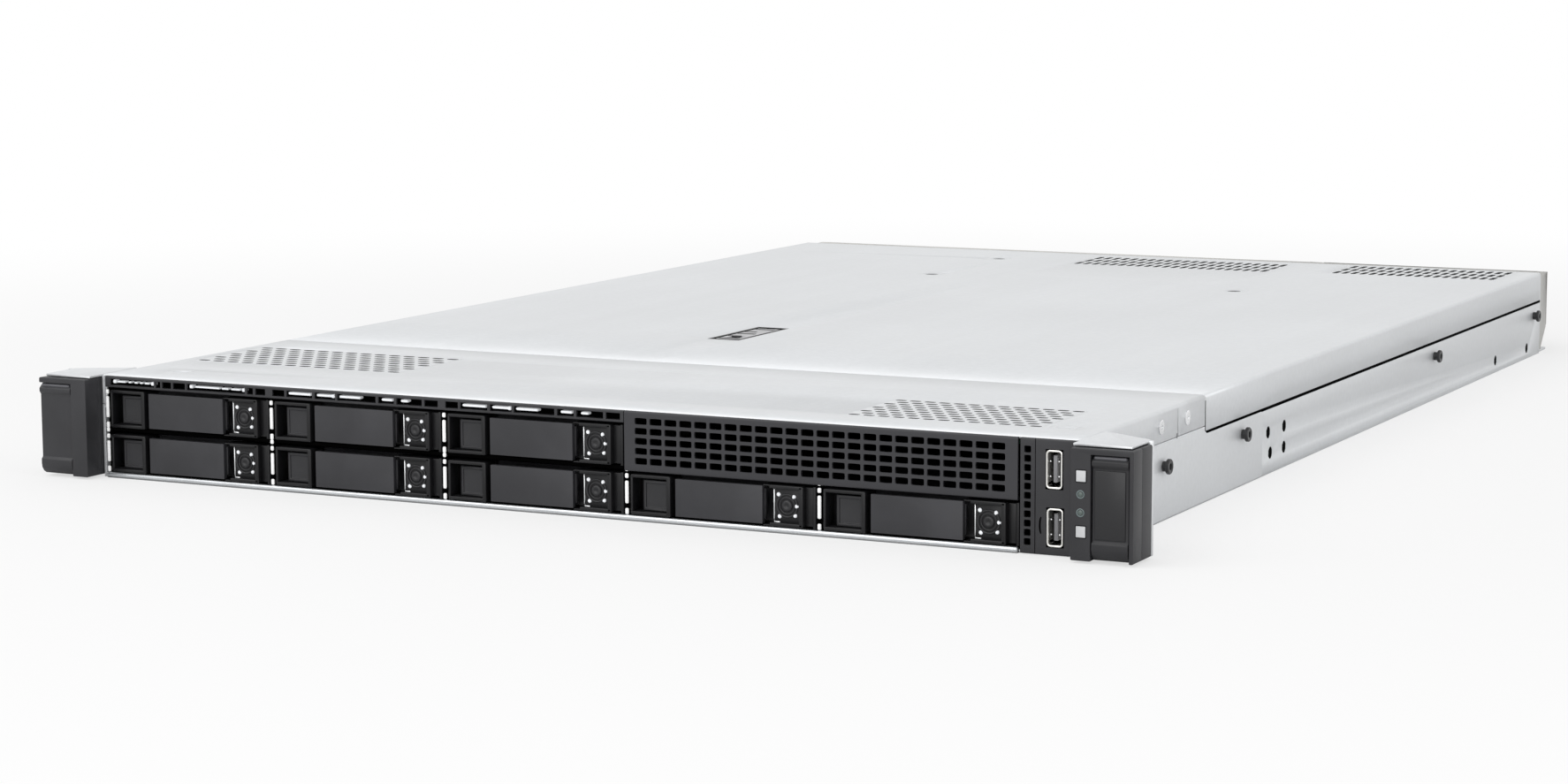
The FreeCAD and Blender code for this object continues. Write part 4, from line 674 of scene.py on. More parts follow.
def channel(node, radius, depth=None):
    """Corners of a front piece, its profile open to the rear, and the distance along it at which Z would be 0."""
    low, high = span(node)
    back = low[1] + depth if depth else high[1]
    fold = Fold([(back, high[2]), (low[1], high[2]), (low[1], low[2]), (back, low[2])], radius)
    return low, high, fold, fold.middle[0] + high[2] - radius


def front_piece(surface, name, material, node, thickness, edge):
    """Write a front piece, then give it its thickness and its rounded edges."""
    thing = surface.make(name, material, "chassis", "black_plastic", node)
    round_edges(thicken(thing, thickness), edge, 1)


def front():
    """Bezel strip, perforated panel and port panel."""
    bezel()
    low, high, fold, zero = channel("media_bay_panel", 0.7)
    count, first, pitch = np.array([5, 24]), np.array([23.4, 38.2]), np.array([3.85, 6.42])
    (z0, x0), (z1, x1) = first - pitch / 2, first + (count - 0.5) * pitch
    lines_u = merged(fold.along, np.linspace(zero - z1, zero - z0, count[0] * 4 + 1))
    lines_v = merged((low[0], high[0]), np.linspace(x0, x1, count[1] * 4 + 1))
    up, along = np.meshgrid(*[start + np.arange(n) * step for start, n, step in zip(first, count, pitch)],
                            indexing="ij")
    holes = np.stack([zero - up, along], -1).reshape(-1, 2)
    front_piece(Surface().sheet(fold, lines_u, lines_v, [(holes, (1.3, 2.65), *SLOT)]),
                "media_panel_sheet", "panel", "media_bay_panel", 1.0, 0.16)

    low, high, fold, zero = channel("port_panel", 0.6)
    split, gap = 200.2, 0.12
    vent_x, vent_z, pitch, count = 197.2, 4.6, 3.38, 11
    z0, z1 = vent_z - pitch / 2, vent_z + (count - 0.5) * pitch
    holes = np.stack([zero - vent_z - np.arange(count) * pitch, np.full(count, vent_x)], -1)
    lines_u = merged(fold.along, np.linspace(zero - z1, zero - z0, count * 4 + 1))
    lines_v = merged((low[0], split - gap), np.linspace(vent_x - 1.9, vent_x + 1.9, 5))
    panel = Surface().sheet(fold, lines_u, lines_v, [(holes, (1.25, 1.3), *SLOT)])
    mouths = [(zero - z - 7.3, zero - z + 7.3, x - 3.45, x + 3.45) for x, z in PORTS]
    panel.sheet(fold, merged(fold.along, *[mouth[:2] for mouth in mouths]),
                merged((split + gap, high[0]), *[mouth[2:] for mouth in mouths]), cuts=mouths)
    front_piece(panel, "port_panel_moulding", "plastic", "port_panel", 1.2, 0.15)
    # bowed slit, a near-black sheet on the panel that paints the slit's shade: half width 0.28 sqrt(1 - t^4) about a
    # line that bows to the left by 0.5 (1 - t^2)
    bow = np.linspace(-0.9, 0.9, 9)
    half = 0.28 * np.sqrt(1 - bow ** 4)
    middle = 202.6 - 0.5 * (1 - bow ** 2)
    slit = rows(np.stack([middle + half, middle - half], -1), low[1] - 0.02, (11.0 + 3.4 * bow)[:, None])
    thicken(Surface().grid(slit, round_v=False).make("port_panel_slit", "void", "chassis", "black_plastic",
                                                     welded=False), 0.2)
    ports()


def bezel():
    """Strip over the first three drive columns, with its windows, a near-black plate that paints the shade seen
    through them, and the light pipes behind them.
    """
    low, high, fold, zero = channel("bay_bezel", 0.5, 11)
    left = low[0] - 0.7 + COLUMN * np.arange(3)
    foot, head = low[2] + 1.0, high[2] - 1.1
    windows = np.concatenate([left[k] + WINDOWS[min(k, 1)] for k in range(3)])
    windows = windows[windows[:, 1] < high[0]]
    down = zero - head, zero - foot
    strip = Surface().sheet(fold, merged(fold.along, down), merged((low[0], high[0]), windows.ravel()),
                            cuts=[(*down, *window) for window in windows])
    front_piece(strip, "bezel_moulding", "plastic", "bay_bezel", 0.9, 0.12)
    # near-black plate behind the windows: painted shade seen through them
    Surface().blocks((low[0], low[1] + 3.2, low[2] + 0.95), (high[0], low[1] + 4.4, high[2] - 0.95), 0.2, 1).make(
        "bezel_back", "void", "chassis", "black_plastic")
    pipes, centre = Surface(), (foot + head) / 2 + 0.2
    for k, start in enumerate(left):
        ends = np.array(ENDS[min(k, 1)])
        for runs, tall in ((np.array(PIPES[min(k, 1)]), 0.55 if k else 0.4),
                           (np.stack([ends - 0.8, ends + 0.8], -1), 0.8)):
            x0, x1 = (start + runs).T
            pipes.blocks(rows(x0, low[1] + 0.5, centre - tall), rows(x1, low[1] + 3.4, centre + tall), 0.5)
    # the light pipes glow faintly: painted light on them
    pipes.make("bezel_light_pipes", "lamp", "chassis", "key_grey")


PORTS = ((207.6, 31.6), (208.0, 10.4))
# rolled lip of a port's shell: round the front edge, then back along the inside
SHELL_LIP = [(-0.05, -1.0), (0.2, -0.1), (0.15, 0.18), (-0.1, 0.28), (-0.45, 0.2), (-0.6, -0.1), (-0.6, -9.0)]


def ports():
    """Shell, tongue and contacts of the two front ports, and a near-black back that paints the shade deep inside
    them.
    """
    face = span("usb_ports")[0][1] + 0.3
    shells, tongues, pins, backs = Surface(), Surface(), Surface(), Surface()
    across, up = (side.ravel() for side in np.meshgrid((-1.75, 1.55), (-2.6, 2.9), indexing="ij"))
    for x, z in PORTS:
        centre = np.array([x, face, z])
        shells.ring(centre, (3.05, 6.9), 1.3, SHELL_LIP)
        tongues.blocks(centre + (-0.9, 1.2, -4.9), centre + (0.7, 8.0, 5.0), 0.3)
        spots = centre + rows(across, 0.9, up)
        pins.blocks(spots - 0.28, spots + 0.28, 0.1, 1)
        backs.blocks(centre + (-2.6, 8.2, -6.3), centre + (2.6, 9.0, 6.3), 0.1, 1)
    shells.make("usb_shells", "chrome", "chassis", "plug_chrome", "usb_ports")
    tongues.make("usb_tongues", "tongue", "chassis", "key_grey")
    pins.make("usb_contacts", "bright", "chassis", "plug_chrome")
    backs.make("usb_backs", "void", "chassis", "black_plastic")


# ---------------------------------------------------------------- ears
EAR_LAMPS = (18.4, 25.0)
EAR_LAMP_X = 221.4
EJECTOR_MARKS = ((0.76, 15.2, 1.9), (0.25, 7.4, 2.4))      # share of the ear's depth, height, radius
BUTTONS = ("power_button", "identify_button")


def ears():
    """Ear housings, levers, plates, buttons and lamps."""
    for name, sign in (("right_ear", 1), ("left_ear", -1)):
        housing(name, sign)
    ear_face = span("right_ear")[0][1]
    # near-black rings round the buttons: painted shadow in the gaps round them
    gaps = Surface()
    for node in BUTTONS:
        low, high = span(node)
        x, _, z = (low + high) / 2
        gaps.ring((x, ear_face + 0.03, z), (high - low)[::2] / 2 + 0.25, 0.4,
                  [(-0.3, -0.3), (-0.3, 0.0), (0.15, 0.05), (0.2, -0.3)], 2)
    gaps.make("button_gaps", "void", "chassis", "black_plastic")
    lever("right_ear_lever", "ear")
    lever("left_ear_lever", "plastic")
    moulded("ear_plates", "steel", 0.25, 1)
    for node in BUTTONS:
        moulded(node, "key", 0.2)
        low, high = span(node)
        x, _, z = (low + high) / 2
        Surface().ring((x, low[1] + 0.02, z), (0.95, 1.15), 0.2,
                       [(-0.14, -0.2), (-0.14, 0.0), (0.14, 0.0), (0.14, -0.2)], 2).make(
            node + "_mark", "tongue", node, "black_plastic")
    lamps = [(EAR_LAMP_X, ear_face + 0.25, z) for z in EAR_LAMPS]
    Surface().turned(ring_section(1.35, 0.34), lamps, "y", 24, round_u=True).make(
        "ear_lamp_rings", "lamp_ring", "chassis", "black_plastic")
    Surface().turned([(1.1, 0.0), (0.9, -0.3), (POLE, -0.38)], lamps, "y", 16).make(
        "ear_lamp_lenses", "lamp_off", "chassis", "black_plastic")
    marks = Surface()
    low, high = span("right_ear")
    for share, z, radius in EJECTOR_MARKS:
        marks.turned(ring_section(radius, 0.14), (high[0] - 0.12, low[1] + (high[1] - low[1]) * share, z), "x", 28,
                     round_u=True, mirror=True)
    marks.make("ear_ejector_marks", "ear", "chassis", "black_plastic")


def housing(name, sign):
    """Ear with room for its lever, drawn for the right side and turned over by the sign for the left."""
    low, high = span(name)
    lever_low, lever_high = span(name + "_lever")
    side, tip = sorted((abs(low[0]), abs(high[0])))
    inner, outer = sorted((abs(lever_low[0]), abs(lever_high[0])))
    inner, outer, cap = inner - 0.3, outer + 0.3, lever_high[2] + 0.3
    base, top, middle = low[2], high[2], lever_high[1] + 0.4
    # seen from the front: strip beside the chassis, cap over the lever, and a cheek outside it if it has room
    corners = [(side, base), (inner, base), (inner, cap), (outer, cap), (outer, base), (tip, base), (tip, top),
               (side, top)]
    radii = np.array([0.5, 0.4, 0.25, 0.25, 0.4, 0.5, 0.7, 0.5])
    if tip - outer < 0.3:
        corners[3:6], radii = [(tip, cap)], np.array([0.5, 0.4, 0.25, 0.4, 0.7, 0.5])
    ear = Surface()
    back = [(side, base), (tip, base), (tip, top), (side, top)]
    for shape, radius, start, end in ((corners, radii, low[1], middle),
                                      (back, np.full(4, 0.5), middle - 0.2, high[1])):
        outline = filleted([(x * sign, z) for x, z in shape][::sign], radius[::sign])
        ear.bar(outline[::-1, ::-1], start, end, 0.3, "y")
    ear.make(name + "_housing", "plastic", "chassis", "black_plastic", name, 40)


def lever(name, material):
    """Ear lever: foot round about the pivot, narrower back, chamfered hand hold with a lighter lip that paints its
    highlight, and the face set back below it.
    """
    low, high = span(name)
    front, back, base, top = low[1], high[1], low[2], high[2]
    corners = [(front, base), (back, base), (back, base + 7.0), (back - 3.5, base + 9.4), (back - 3.5, top - 0.6),
               (back - 4.7, top), (front + 2.2, top), (front, top - 2.0), (front, top - 3.4),
               (front + 0.9, top - 4.6), (front + 0.9, base + 7.4), (front, base + 6.4)]
    radii = [4.35, 4.35, 0.5, 0.5, 0.4, 0.4, 0.5, 0.5, 0.5, 0.6, 0.5, 0.4]
    Surface().bar(filleted(corners, radii), low[0], high[0], 0.35).make(
        name + "_moulding", material, name, "black_plastic", name, 40)
    if material == "ear":
        Surface().blocks((low[0] + 1.0, front + 0.55, base + 7.9), (high[0] - 1.2, front + 1.2, top - 5.2), 0.3).make(
            name + "_plate", "dial", name, "black_plastic")
    # lighter lip along the lever's top: painted highlight of its chamfer
    Surface().blocks((low[0] + 0.5, front + 0.55, top - 1.55), (high[0] - 0.7, front + 2.6, top - 0.02), 0.75).make(
        name + "_lip", "grip", name, "black_plastic")


# ---------------------------------------------------------------- inside
def inside():
    """Finishes of the boards, the heatsink, the baffle, the fans and the riser."""
    coat("board", "system_board")
    coat("card", "drive_backplane", "memory_modules")
    coat("aluminium", "heatsink")
    coat("plastic", "air_baffle")
    coat("fan", "fan_frames", *["fan_rotor_%d" % k for k in range(1, 6)])
    coat("steel", "riser_cage")


# ---------------------------------------------------------------- rear
JACKS, JACK_HEIGHT = (103, 126, 142, 158, 174), 13.6
REAR_PORTS = (76, 9.7), (76, 17.3)
VIDEO_PORT = (40, 12.65)
SUPPLY_LAMP = (38.5, 24.5)      # from the supply's left side, and from the ground
VENT_HALF = np.array([9.8, 14.8, 14.8, 14.8, 9.8])      # half heights of a supply's upright vents
VENT_PITCH, VENT_WIDTH = 6.6, 4.5
GRID_PITCH, GRID_BARS = 4.0, 7
CONNECTOR_LIP = [(0.02, 7.0), (-0.1, -0.1), (0.15, -0.3), (0.5, -0.25), (0.6, 0.3)]


def rear():
    """Rear panel, and the vents, grids and lamps of the power supplies."""
    moulded("rear_panel", "rear", 0.25, 1)
    face = span("rear_panel")[1][1]
    for k in (1, 2):
        name = "power_supply_%d" % k
        moulded(name, "steel_dark", 0.25)
        moulded("power_supply_tab_%d" % k, "touch", 0.5)
        low, high = span(name)
        left, middle = low[0] + 3.05 + VENT_PITCH * np.arange(5), (low[2] + high[2]) / 2
        # near-black blocks in the vent openings: painted shade inside them
        Surface().blocks(rows(left, face - 1.19, middle - VENT_HALF),
                         rows(left + VENT_WIDTH, face - 0.9, middle + VENT_HALF), 0.1, 1).make(
            "supply_vents_%d" % k, "void", name, "black_steel")
        height = middle + GRID_PITCH * (np.arange(GRID_BARS) - GRID_BARS // 2)
        Surface().blocks(rows(left[0] - 0.4, face - 0.85, height - 0.35),
                         rows(left[4] + 4.9, face - 0.1, height + 0.35), 0.3).make(
            "supply_grid_%d" % k, "steel_dark", name, "supply_case")
        lens = [(1.3, -0.4), (1.2, 0.2), (0.7, 0.4), (POLE, 0.45)]
        Surface().turned(lens, (low[0] + SUPPLY_LAMP[0], face, SUPPLY_LAMP[1]), "y", 20).make(
            "supply_lamp_%d" % k, "lamp_ring", name, "key_grey")
    connectors(face - 0.3)


def connectors(face):
    """Metal rims, contacts and small lamps of the network jacks and the ports, and near-black discs that paint the
    shade in the video port's holes.
    """
    rims, pins, lamps = Surface(), Surface(), Surface()
    for x in JACKS:
        rims.ring((x, face, JACK_HEIGHT), (5.8, 4.1), 0.3, CONNECTOR_LIP)
        at = x - 3.5 + np.arange(8)
        pins.blocks(rows(at - 0.2, face - 7, JACK_HEIGHT + 2.5), rows(at + 0.2, face - 1.5, JACK_HEIGHT + 2.9),
                    0.1, 1)
        at = x + np.array([-4.6, 4.6])
        lamps.blocks(rows(at - 1.0, face - 0.4, JACK_HEIGHT + 4.5), rows(at + 1.0, face + 0.12, JACK_HEIGHT + 5.2),
                     0.15, 1)
    for x, z in REAR_PORTS:
        rims.ring((x, face, z), (6.25, 2.65), 0.3, CONNECTOR_LIP)
    rims.make("connector_rims", "bright", "chassis", "plug_chrome")
    pins.make("connector_contacts", "gold", "chassis", "plug_chrome")
    lamps.make("connector_lamps", "lamp_ring", "chassis", "key_grey")
    across, up = (side.ravel() for side in np.meshgrid(np.arange(5) - 2.0, np.arange(3) - 1.0, indexing="ij"))
    spots = rows(VIDEO_PORT[0] + across * 2.3 + 0.5 * (up == 0), face + 4.0, VIDEO_PORT[1] + up * 2.1)
    Surface().turned([(0.5, -0.1), (0.45, 0.03), (POLE, 0.03)], spots, "y", 12).make(
        "video_port_holes", "void", "chassis", "black_plastic")


# ---------------------------------------------------------------- finishes
def maths(operation, reflected=False):
    """Method of Value that adds one Math node for an operation."""
    def run(self, *others):
        values = (*others, self) if reflected else (self, *others)
        return self.nodes.node("ShaderNodeMath", {"operation": operation}, dict(enumerate(values)))
    return run


class Value:
    """A socket of a finish that sums, products and powers can be written with."""

    def __init__(self, nodes, socket):
        self.nodes, self.socket = nodes, socket

    __add__ = __radd__ = maths("ADD")
    __mul__ = __rmul__ = maths("MULTIPLY")
    __sub__, __rsub__ = maths("SUBTRACT"), maths("SUBTRACT", True)
    __pow__ = maths("POWER")
    wave = maths("SINE")
    greater = maths("MAXIMUM")

    def step(self, low, high):
        """Smooth step from 0 at low to 1 at high."""
        return self.nodes.node("ShaderNodeMapRange", {"interpolation_type": "SMOOTHSTEP"},
                               {"Value": self, "From Min": low, "From Max": high})


class Nodes:
    """The node tree of a material or of the world."""

    def __init__(self, owner):
        owner.use_nodes = True
        self.tree = owner.node_tree

    def find(self, kind):
        """The tree's own node of a type."""
        return next(node for node in self.tree.nodes if node.type == kind)

    def node(self, kind, settings, inputs, output=0):
        """A node of a type with its settings, then the values or links of its sockets; gives one output."""
        made = self.tree.nodes.new(kind)
        for key, value in settings.items():
            setattr(made, key, value)
        for key, value in inputs.items():
            if isinstance(value, Value):
                self.tree.links.new(value.socket, made.inputs[key])
            else:
                made.inputs[key].default_value = value
        return Value(self, made.outputs[output])


class Finish(Nodes):
    """A material: a Principled shader, its plain numbers, and the nodes that vary it over the surface."""

    def __init__(self, name, colour, roughness, metallic=0.0, plain=()):
        self.material = bpy.data.materials.new(name)
        super().__init__(self.material)
        self.shader = self.find("BSDF_PRINCIPLED")
        self.material.diffuse_color = colour
        for key, value in (("Base Color", colour), ("Roughness", roughness), ("Metallic", metallic), *plain):
            self.shader.inputs[key].default_value = value
        self.place = self.node("ShaderNodeTexCoord", {}, {}, "Object")

    def stretched(self, *scale):
        """Object coordinates, scaled."""
        return self.node("ShaderNodeMapping", {}, {"Vector": self.place, "Scale": scale})

    def noise(self, scale, detail=2.0, place=None):
        """Cloudy noise from 0 to 1."""
        inputs = {"Vector": place or self.place, "Scale": scale, "Detail": detail}
        return self.node("ShaderNodeTexNoise", {}, inputs, "Fac")

    def cells(self, scale):
        """Distance to the nearest of scattered points."""
        return self.node("ShaderNodeTexVoronoi", {}, {"Vector": self.place, "Scale": scale}, "Distance")

    def axes(self):
        """X, Y and Z of the surface as three values."""
        made = self.node("ShaderNodeSeparateXYZ", {}, {0: self.place}).socket.node
        return [Value(self, output) for output in made.outputs]

    def blend(self, factor, first, second):
        """Colour that goes from the first to the second with the factor."""
        return self.node("ShaderNodeMix", {"data_type": "RGBA"}, {0: factor, 6: first, 7: second}, 2)

    def bump(self, height, distance, strength):
        """Surface normal from a height."""
        inputs = {"Height": height, "Distance": distance * MM, "Strength": strength}
        return self.node("ShaderNodeBump", {}, inputs, "Normal")

    def vary(self, **links):
        """Link sockets that vary over the surface, such as base_color, roughness and normal."""
        for key, value in links.items():
            self.tree.links.new(value.socket, self.shader.inputs[key.replace("_", " ").title()])
        return self.material


def tint(colour, factor=1.0):
    """A colour made lighter or darker."""
    return (*(min(1.0, part * factor) for part in tuple(colour)[:3]), 1.0)


def steel_finish(name, colour, metallic=0.5, roughness=0.42):
    """Zinc-coated sheet: faint spangle, rolling lines along the sheet and small cloudy changes of gloss."""
    f = Finish(name, colour, roughness, metallic)
    clouds = f.noise(9.0, 4.0)
    rolling = f.noise(60.0, 3.0, f.stretched(1.0, 0.04, 1.0))
    shade = clouds * 0.5 + rolling * 0.3 + f.cells(420.0) * 0.2
    return f.vary(base_color=f.blend(shade.step(0.2, 0.9), tint(colour, 0.93), tint(colour, 1.05)),
                  roughness=roughness - 0.06 + shade * 0.16,
                  normal=f.bump(rolling * 0.6 + clouds * 0.4, 0.02, 0.35))


def moulding_finish(name, colour, roughness=0.42, gloss=0.5, grain=1800.0):
    """Moulded plastic: fine spark-eroded grain, with slightly rubbed and dusty patches."""
    f = Finish(name, colour, roughness, plain=[("Specular IOR Level", gloss)])
    texture = f.noise(grain)
    wear = f.noise(38.0, 3.0)
    return f.vary(base_color=f.blend(wear.step(0.35, 0.75), tint(colour, 0.88), tint(colour, 1.22)),
                  roughness=roughness - 0.06 + wear * 0.14 + texture * 0.05,
                  normal=f.bump(texture, 0.03, 0.4))


def paint_finish(name, colour, roughness=0.4, gloss=0.5):
    """Powder paint: soft orange peel over the sheet."""
    f = Finish(name, colour, roughness, plain=[("Specular IOR Level", gloss)])
    peel = f.noise(900.0)
    clouds = f.noise(20.0)
    return f.vary(base_color=f.blend(clouds, tint(colour, 0.9), tint(colour, 1.12)),
                  roughness=roughness - 0.05 + clouds * 0.1,
                  normal=f.bump(peel, 0.04, 0.3))


def bright_finish(name, colour, roughness=0.22, metallic=1.0):
    """Bright plated metal with fine drawing lines and a little tarnish."""
    f = Finish(name, colour, roughness, metallic)
    drawn = f.noise(300.0, 3.0, f.stretched(0.15, 0.15, 1.0))
    tarnish = f.noise(45.0, 3.0)
    return f.vary(base_color=f.blend(tarnish.step(0.4, 0.8), colour, tint(colour, 0.86)),
                  roughness=roughness - 0.05 + drawn * 0.1 + tarnish * 0.06,
                  normal=f.bump(drawn, 0.01, 0.3))


def board_finish(name, colour, top=1.0, rear=1.0):
    """Circuit board: solder mask with darker copper lands and fine traces under it.

    What stands above the height top is dark plastic, and behind the line rear it is plated connector shells,
    both in metres.
    """
    f = Finish(name, colour, 0.32, plain=[("Coat Weight", 0.3)])
    x, y, z = f.axes()
    along = (x * 2400.0).wave() * (y * 300.0).wave()
    across = (y * 2400.0).wave() * (x * 300.0).wave()
    land = f.cells(90.0).step(0.15, 0.5)
    standing = (z - top).step(0.0, 0.0001)
    shell = standing * (y - rear).step(0.0, 0.0002)
    mask = f.blend((along + across).step(0.2, 0.5) * land, colour, tint(colour, 1.7))
    fitted = f.blend(standing, mask, (0.03, 0.03, 0.032, 1))
    return f.vary(base_color=f.blend(shell, fitted, (0.5, 0.5, 0.5, 1)),
                  roughness=0.3 + land * 0.12, metallic=shell * 0.8)


def glow_finish(name, colour, strength):
    """Pale part with a faint glow of its own and colour that varies a little at random: painted light on the drive
    lamps, the bezel's light pipes and the contact strips.
    """
    f = Finish(name, colour, 0.3, plain=[("Emission Strength", strength)])
    mix = f.blend(f.noise(700.0, 1.0), tint(colour, 0.9), tint(colour, 1.05))
    return f.vary(base_color=mix, emission_color=mix)


# each finish: what makes it, a colour of its own or one of the settings with its tint, and what the maker takes
FINISHES = {
    "steel": (steel_finish, ("steel", 1.0)),
    "steel_dark": (steel_finish, ("steel", 0.72)),
    # painted shade under the sill's hem
    "sill_shade": (steel_finish, ("steel", 0.3)),
    # dark paint: on the walls of the vent holes it is painted shade, on the bungs in the dishes their own dark colour
    "punched": (paint_finish, ("steel", 0.1), 0.6),
    "panel": (paint_finish, ("panel", 1.0), 0.45, 0.36),
    "rear": (paint_finish, ("rear", 1.0), 0.42),
    "bright": (bright_finish, (0.86, 0.87, 0.88)),
    "chrome": (bright_finish, (0.9, 0.89, 0.85), 0.12),
    "sill": (bright_finish, (0.66, 0.68, 0.7), 0.3, 0.85),
    "gold": (bright_finish, (0.8, 0.6, 0.28), 0.25),
    "spool": (bright_finish, (0.035, 0.035, 0.037), 0.35, 0.4),
    "aluminium": (bright_finish, (0.7, 0.71, 0.72), 0.34),
    "plastic": (moulding_finish, ("plastic", 1.0), 0.42, 0.4),
    "handle": (moulding_finish, ("plastic", 1.25), 0.38, 0.38),
    "bezel": (moulding_finish, ("plastic", 0.32), 0.36, 0.3),
    "ear": (moulding_finish, ("plastic", 0.75), 0.4, 0.35),
    # painted highlight on the levers' lips
    "grip": (moulding_finish, ("plastic", 3.6), 0.3),
    "dial": (moulding_finish, ("plastic", 0.6), 0.36, 0.4),
    "release": (moulding_finish, ("plastic", 0.85), 0.4, 0.4),
    "latch": (moulding_finish, (0.52, 0.52, 0.53), 0.4, 0.4),
    # painted shade: near-black for holes, gaps, seams, slits and backs where shade falls, and for the black drive
    # cage, whose near-black also paints the shade between the carriers
    "void": (moulding_finish, (0.001, 0.001, 0.001), 0.9, 0.02),
    "lamp_ring": (moulding_finish, (0.13, 0.17, 0.17), 0.3),
    "lamp_off": (moulding_finish, (0.09, 0.12, 0.11), 0.25),
    "fan": (moulding_finish, (0.03, 0.03, 0.033), 0.5),
    "tongue": (moulding_finish, (0.2, 0.2, 0.21), 0.45),
    "key": (moulding_finish, ("key", 1.0), 0.4, 0.5, 1200.0),
    "touch": (moulding_finish, ("touch", 1.0), 0.4, 0.5, 1200.0),
    # painted glint: the contact strips get a faint glow of their own
    "strip": (glow_finish, (0.93, 0.93, 0.93), 0.12),
    # painted light: a faint glow of their own makes the drive lamps and the bezel's light pipes bright
    "lamp": (glow_finish, (0.85, 0.87, 0.9), 0.25),
    "board": (board_finish, ("board", 1.0), 0.00595, 0.3165),
    "card": (board_finish, ("board", 1.0)),
}
MADE = {}


def finish(name):
    """The material of one of the finishes, made on its first use."""
    if name not in MADE:
        maker, shade, *numbers = FINISHES[name]
        if isinstance(shade[0], str):
            shade = tint(getattr(bpy.context.scene.server_finish, shade[0]), shade[1])
        MADE[name] = maker(name, tint(shade), *numbers)
    return MADE[name]


# ---------------------------------------------------------------- stage
FLOOR_REACH = 30.0      # half side of the floor, in metres as all of the stage
FADE = 0.35, 1.1        # distances between which the floor goes over into the white surround
NEAR_WHITE = 0.62       # share of that white that the camera sees on the floor close to the server
WORLD_LIGHT = 0.55      # strength of the surround as a light; it is seen and mirrored as white
EYE = (0.65757, -1.46258, 0.22236)
SENSOR = 36.0
# lamps: name, place, side and power
STUDIO_LAMPS = (("key_lamp", (-1.2, -2.2, 2.6), 3.4, 54.0),
                ("side_lamp", (2.6, -0.6, 1.4), 1.6, 12.0),
                ("front_lamp", (0.4, -3.0, 0.7), 1.6, 15.0))


def stand(name, data):
    """Object of the stage."""
    thing = bpy.data.objects.new(name, data)
    bpy.context.scene.collection.objects.link(thing)
    return thing


def studio_floor(colour):
    """Pale floor whose camera rays are lifted towards white, and fully so far from the server."""
    reach = FLOOR_REACH / MM
    mesh = Surface().grid(rows(*np.meshgrid([-reach, reach], [-reach, reach], indexing="ij"), 0.0),
                          round_v=False).mesh("floor")
    f = Finish("floor", tint(colour), 0.85)
    f.vary(base_color=f.blend(f.noise(1.5), tint(colour), tint(colour, 0.985)))
    ray = f.node("ShaderNodeLightPath", {}, {}, "Is Camera Ray")
    x, y, z = f.axes()
    away = ((x * x + y * y) ** 0.5).step(*FADE)
    lift = f.node("ShaderNodeEmission", {}, {"Color": (1, 1, 1, 1), "Strength": 1.0})
    mixed = f.node("ShaderNodeMixShader", {}, {0: ray * (NEAR_WHITE + away * (1 - NEAR_WHITE)),
                                               1: Value(f, f.shader.outputs[0]), 2: lift})
    f.tree.links.new(mixed.socket, f.find("OUTPUT_MATERIAL").inputs["Surface"])
    mesh.materials.append(f.material)
    stand("floor", mesh)


def surround():
    """White surround for camera, glossy and transmitted rays, and a softer light for all others."""
    world = bpy.data.worlds.new("surround")
    bpy.context.scene.world = world
    nodes = Nodes(world)
    seen, mirrored, through = (nodes.node("ShaderNodeLightPath", {}, {}, "Is %s Ray" % kind)
                              for kind in ("Camera", "Glossy", "Transmission"))
    level = nodes.node("ShaderNodeMapRange", {}, {"Value": seen.greater(mirrored).greater(through),
                                                  "To Min": WORLD_LIGHT, "To Max": 1.0})
    back = nodes.find("BACKGROUND")
    back.inputs["Color"].default_value = (1, 1, 1, 1)
    nodes.tree.links.new(level.socket, back.inputs["Strength"])


def camera(stage):
    """Camera turned by the azimuth about the vertical, then by the elevation, then by its roll."""
    view = bpy.data.cameras.new("camera")
    view.lens, view.sensor_width, view.clip_end = stage.lens, SENSOR, 100.0
    eye = stand("camera", view)
    eye.location = EYE
    eye.rotation_mode = "QUATERNION"
    a, e, r = stage.azimuth, stage.elevation, stage.roll
    back = Vector((math.sin(a) * math.cos(e), -math.cos(a) * math.cos(e), math.sin(e)))
    right = (-back).cross(Vector((0, 0, 1))).normalized()
    up = right.cross(-back)
    right, up = math.cos(r) * right + math.sin(r) * up, math.cos(r) * up - math.sin(r) * right
    eye.rotation_quaternion = Matrix((right, up, back)).transposed().to_quaternion()
    bpy.context.scene.camera = eye


def studio(stage):
    """Floor, surround, soft lamps that face the server, and the camera."""
    bpy.context.scene.view_settings.view_transform = "Standard"
    studio_floor(stage.floor)
    surround()
    for name, place, side, power in STUDIO_LAMPS:
        lamp = bpy.data.lights.new(name, "AREA")
        lamp.size, lamp.energy = side, power
        thing = stand(name, lamp)
        thing.location = place
        x, y, z = place
        thing.rotation_euler = (math.pi / 2 - math.atan2(z, math.hypot(x, y)), 0, math.atan2(x, -y))
    camera(stage)


# ---------------------------------------------------------------- operators
class SERVER_OT_covers(bpy.types.Operator):
    """Front and main cover with their vents, and the latch"""
    bl_idname = "server.covers"
    bl_label = "Covers"
    bl_options = {"REGISTER", "UNDO"}

    def execute(self, context):
        covers(context.scene.server_shape)
        return {"FINISHED"}


class SERVER_OT_chassis(bpy.types.Operator):
    """Tray with its sill, side holes, seams, rivets and rail spools"""
    bl_idname = "server.chassis"
    bl_label = "Chassis"
    bl_options = {"REGISTER", "UNDO"}

    def execute(self, context):
        chassis()
        return {"FINISHED"}


class SERVER_OT_drives(bpy.types.Operator):
    """Drive carriers with their handles, buttons, dials and lamps"""
    bl_idname = "server.drives"
    bl_label = "Drives"
    bl_options = {"REGISTER", "UNDO"}

    def execute(self, context):
        drives(context.scene.server_shape)
        return {"FINISHED"}


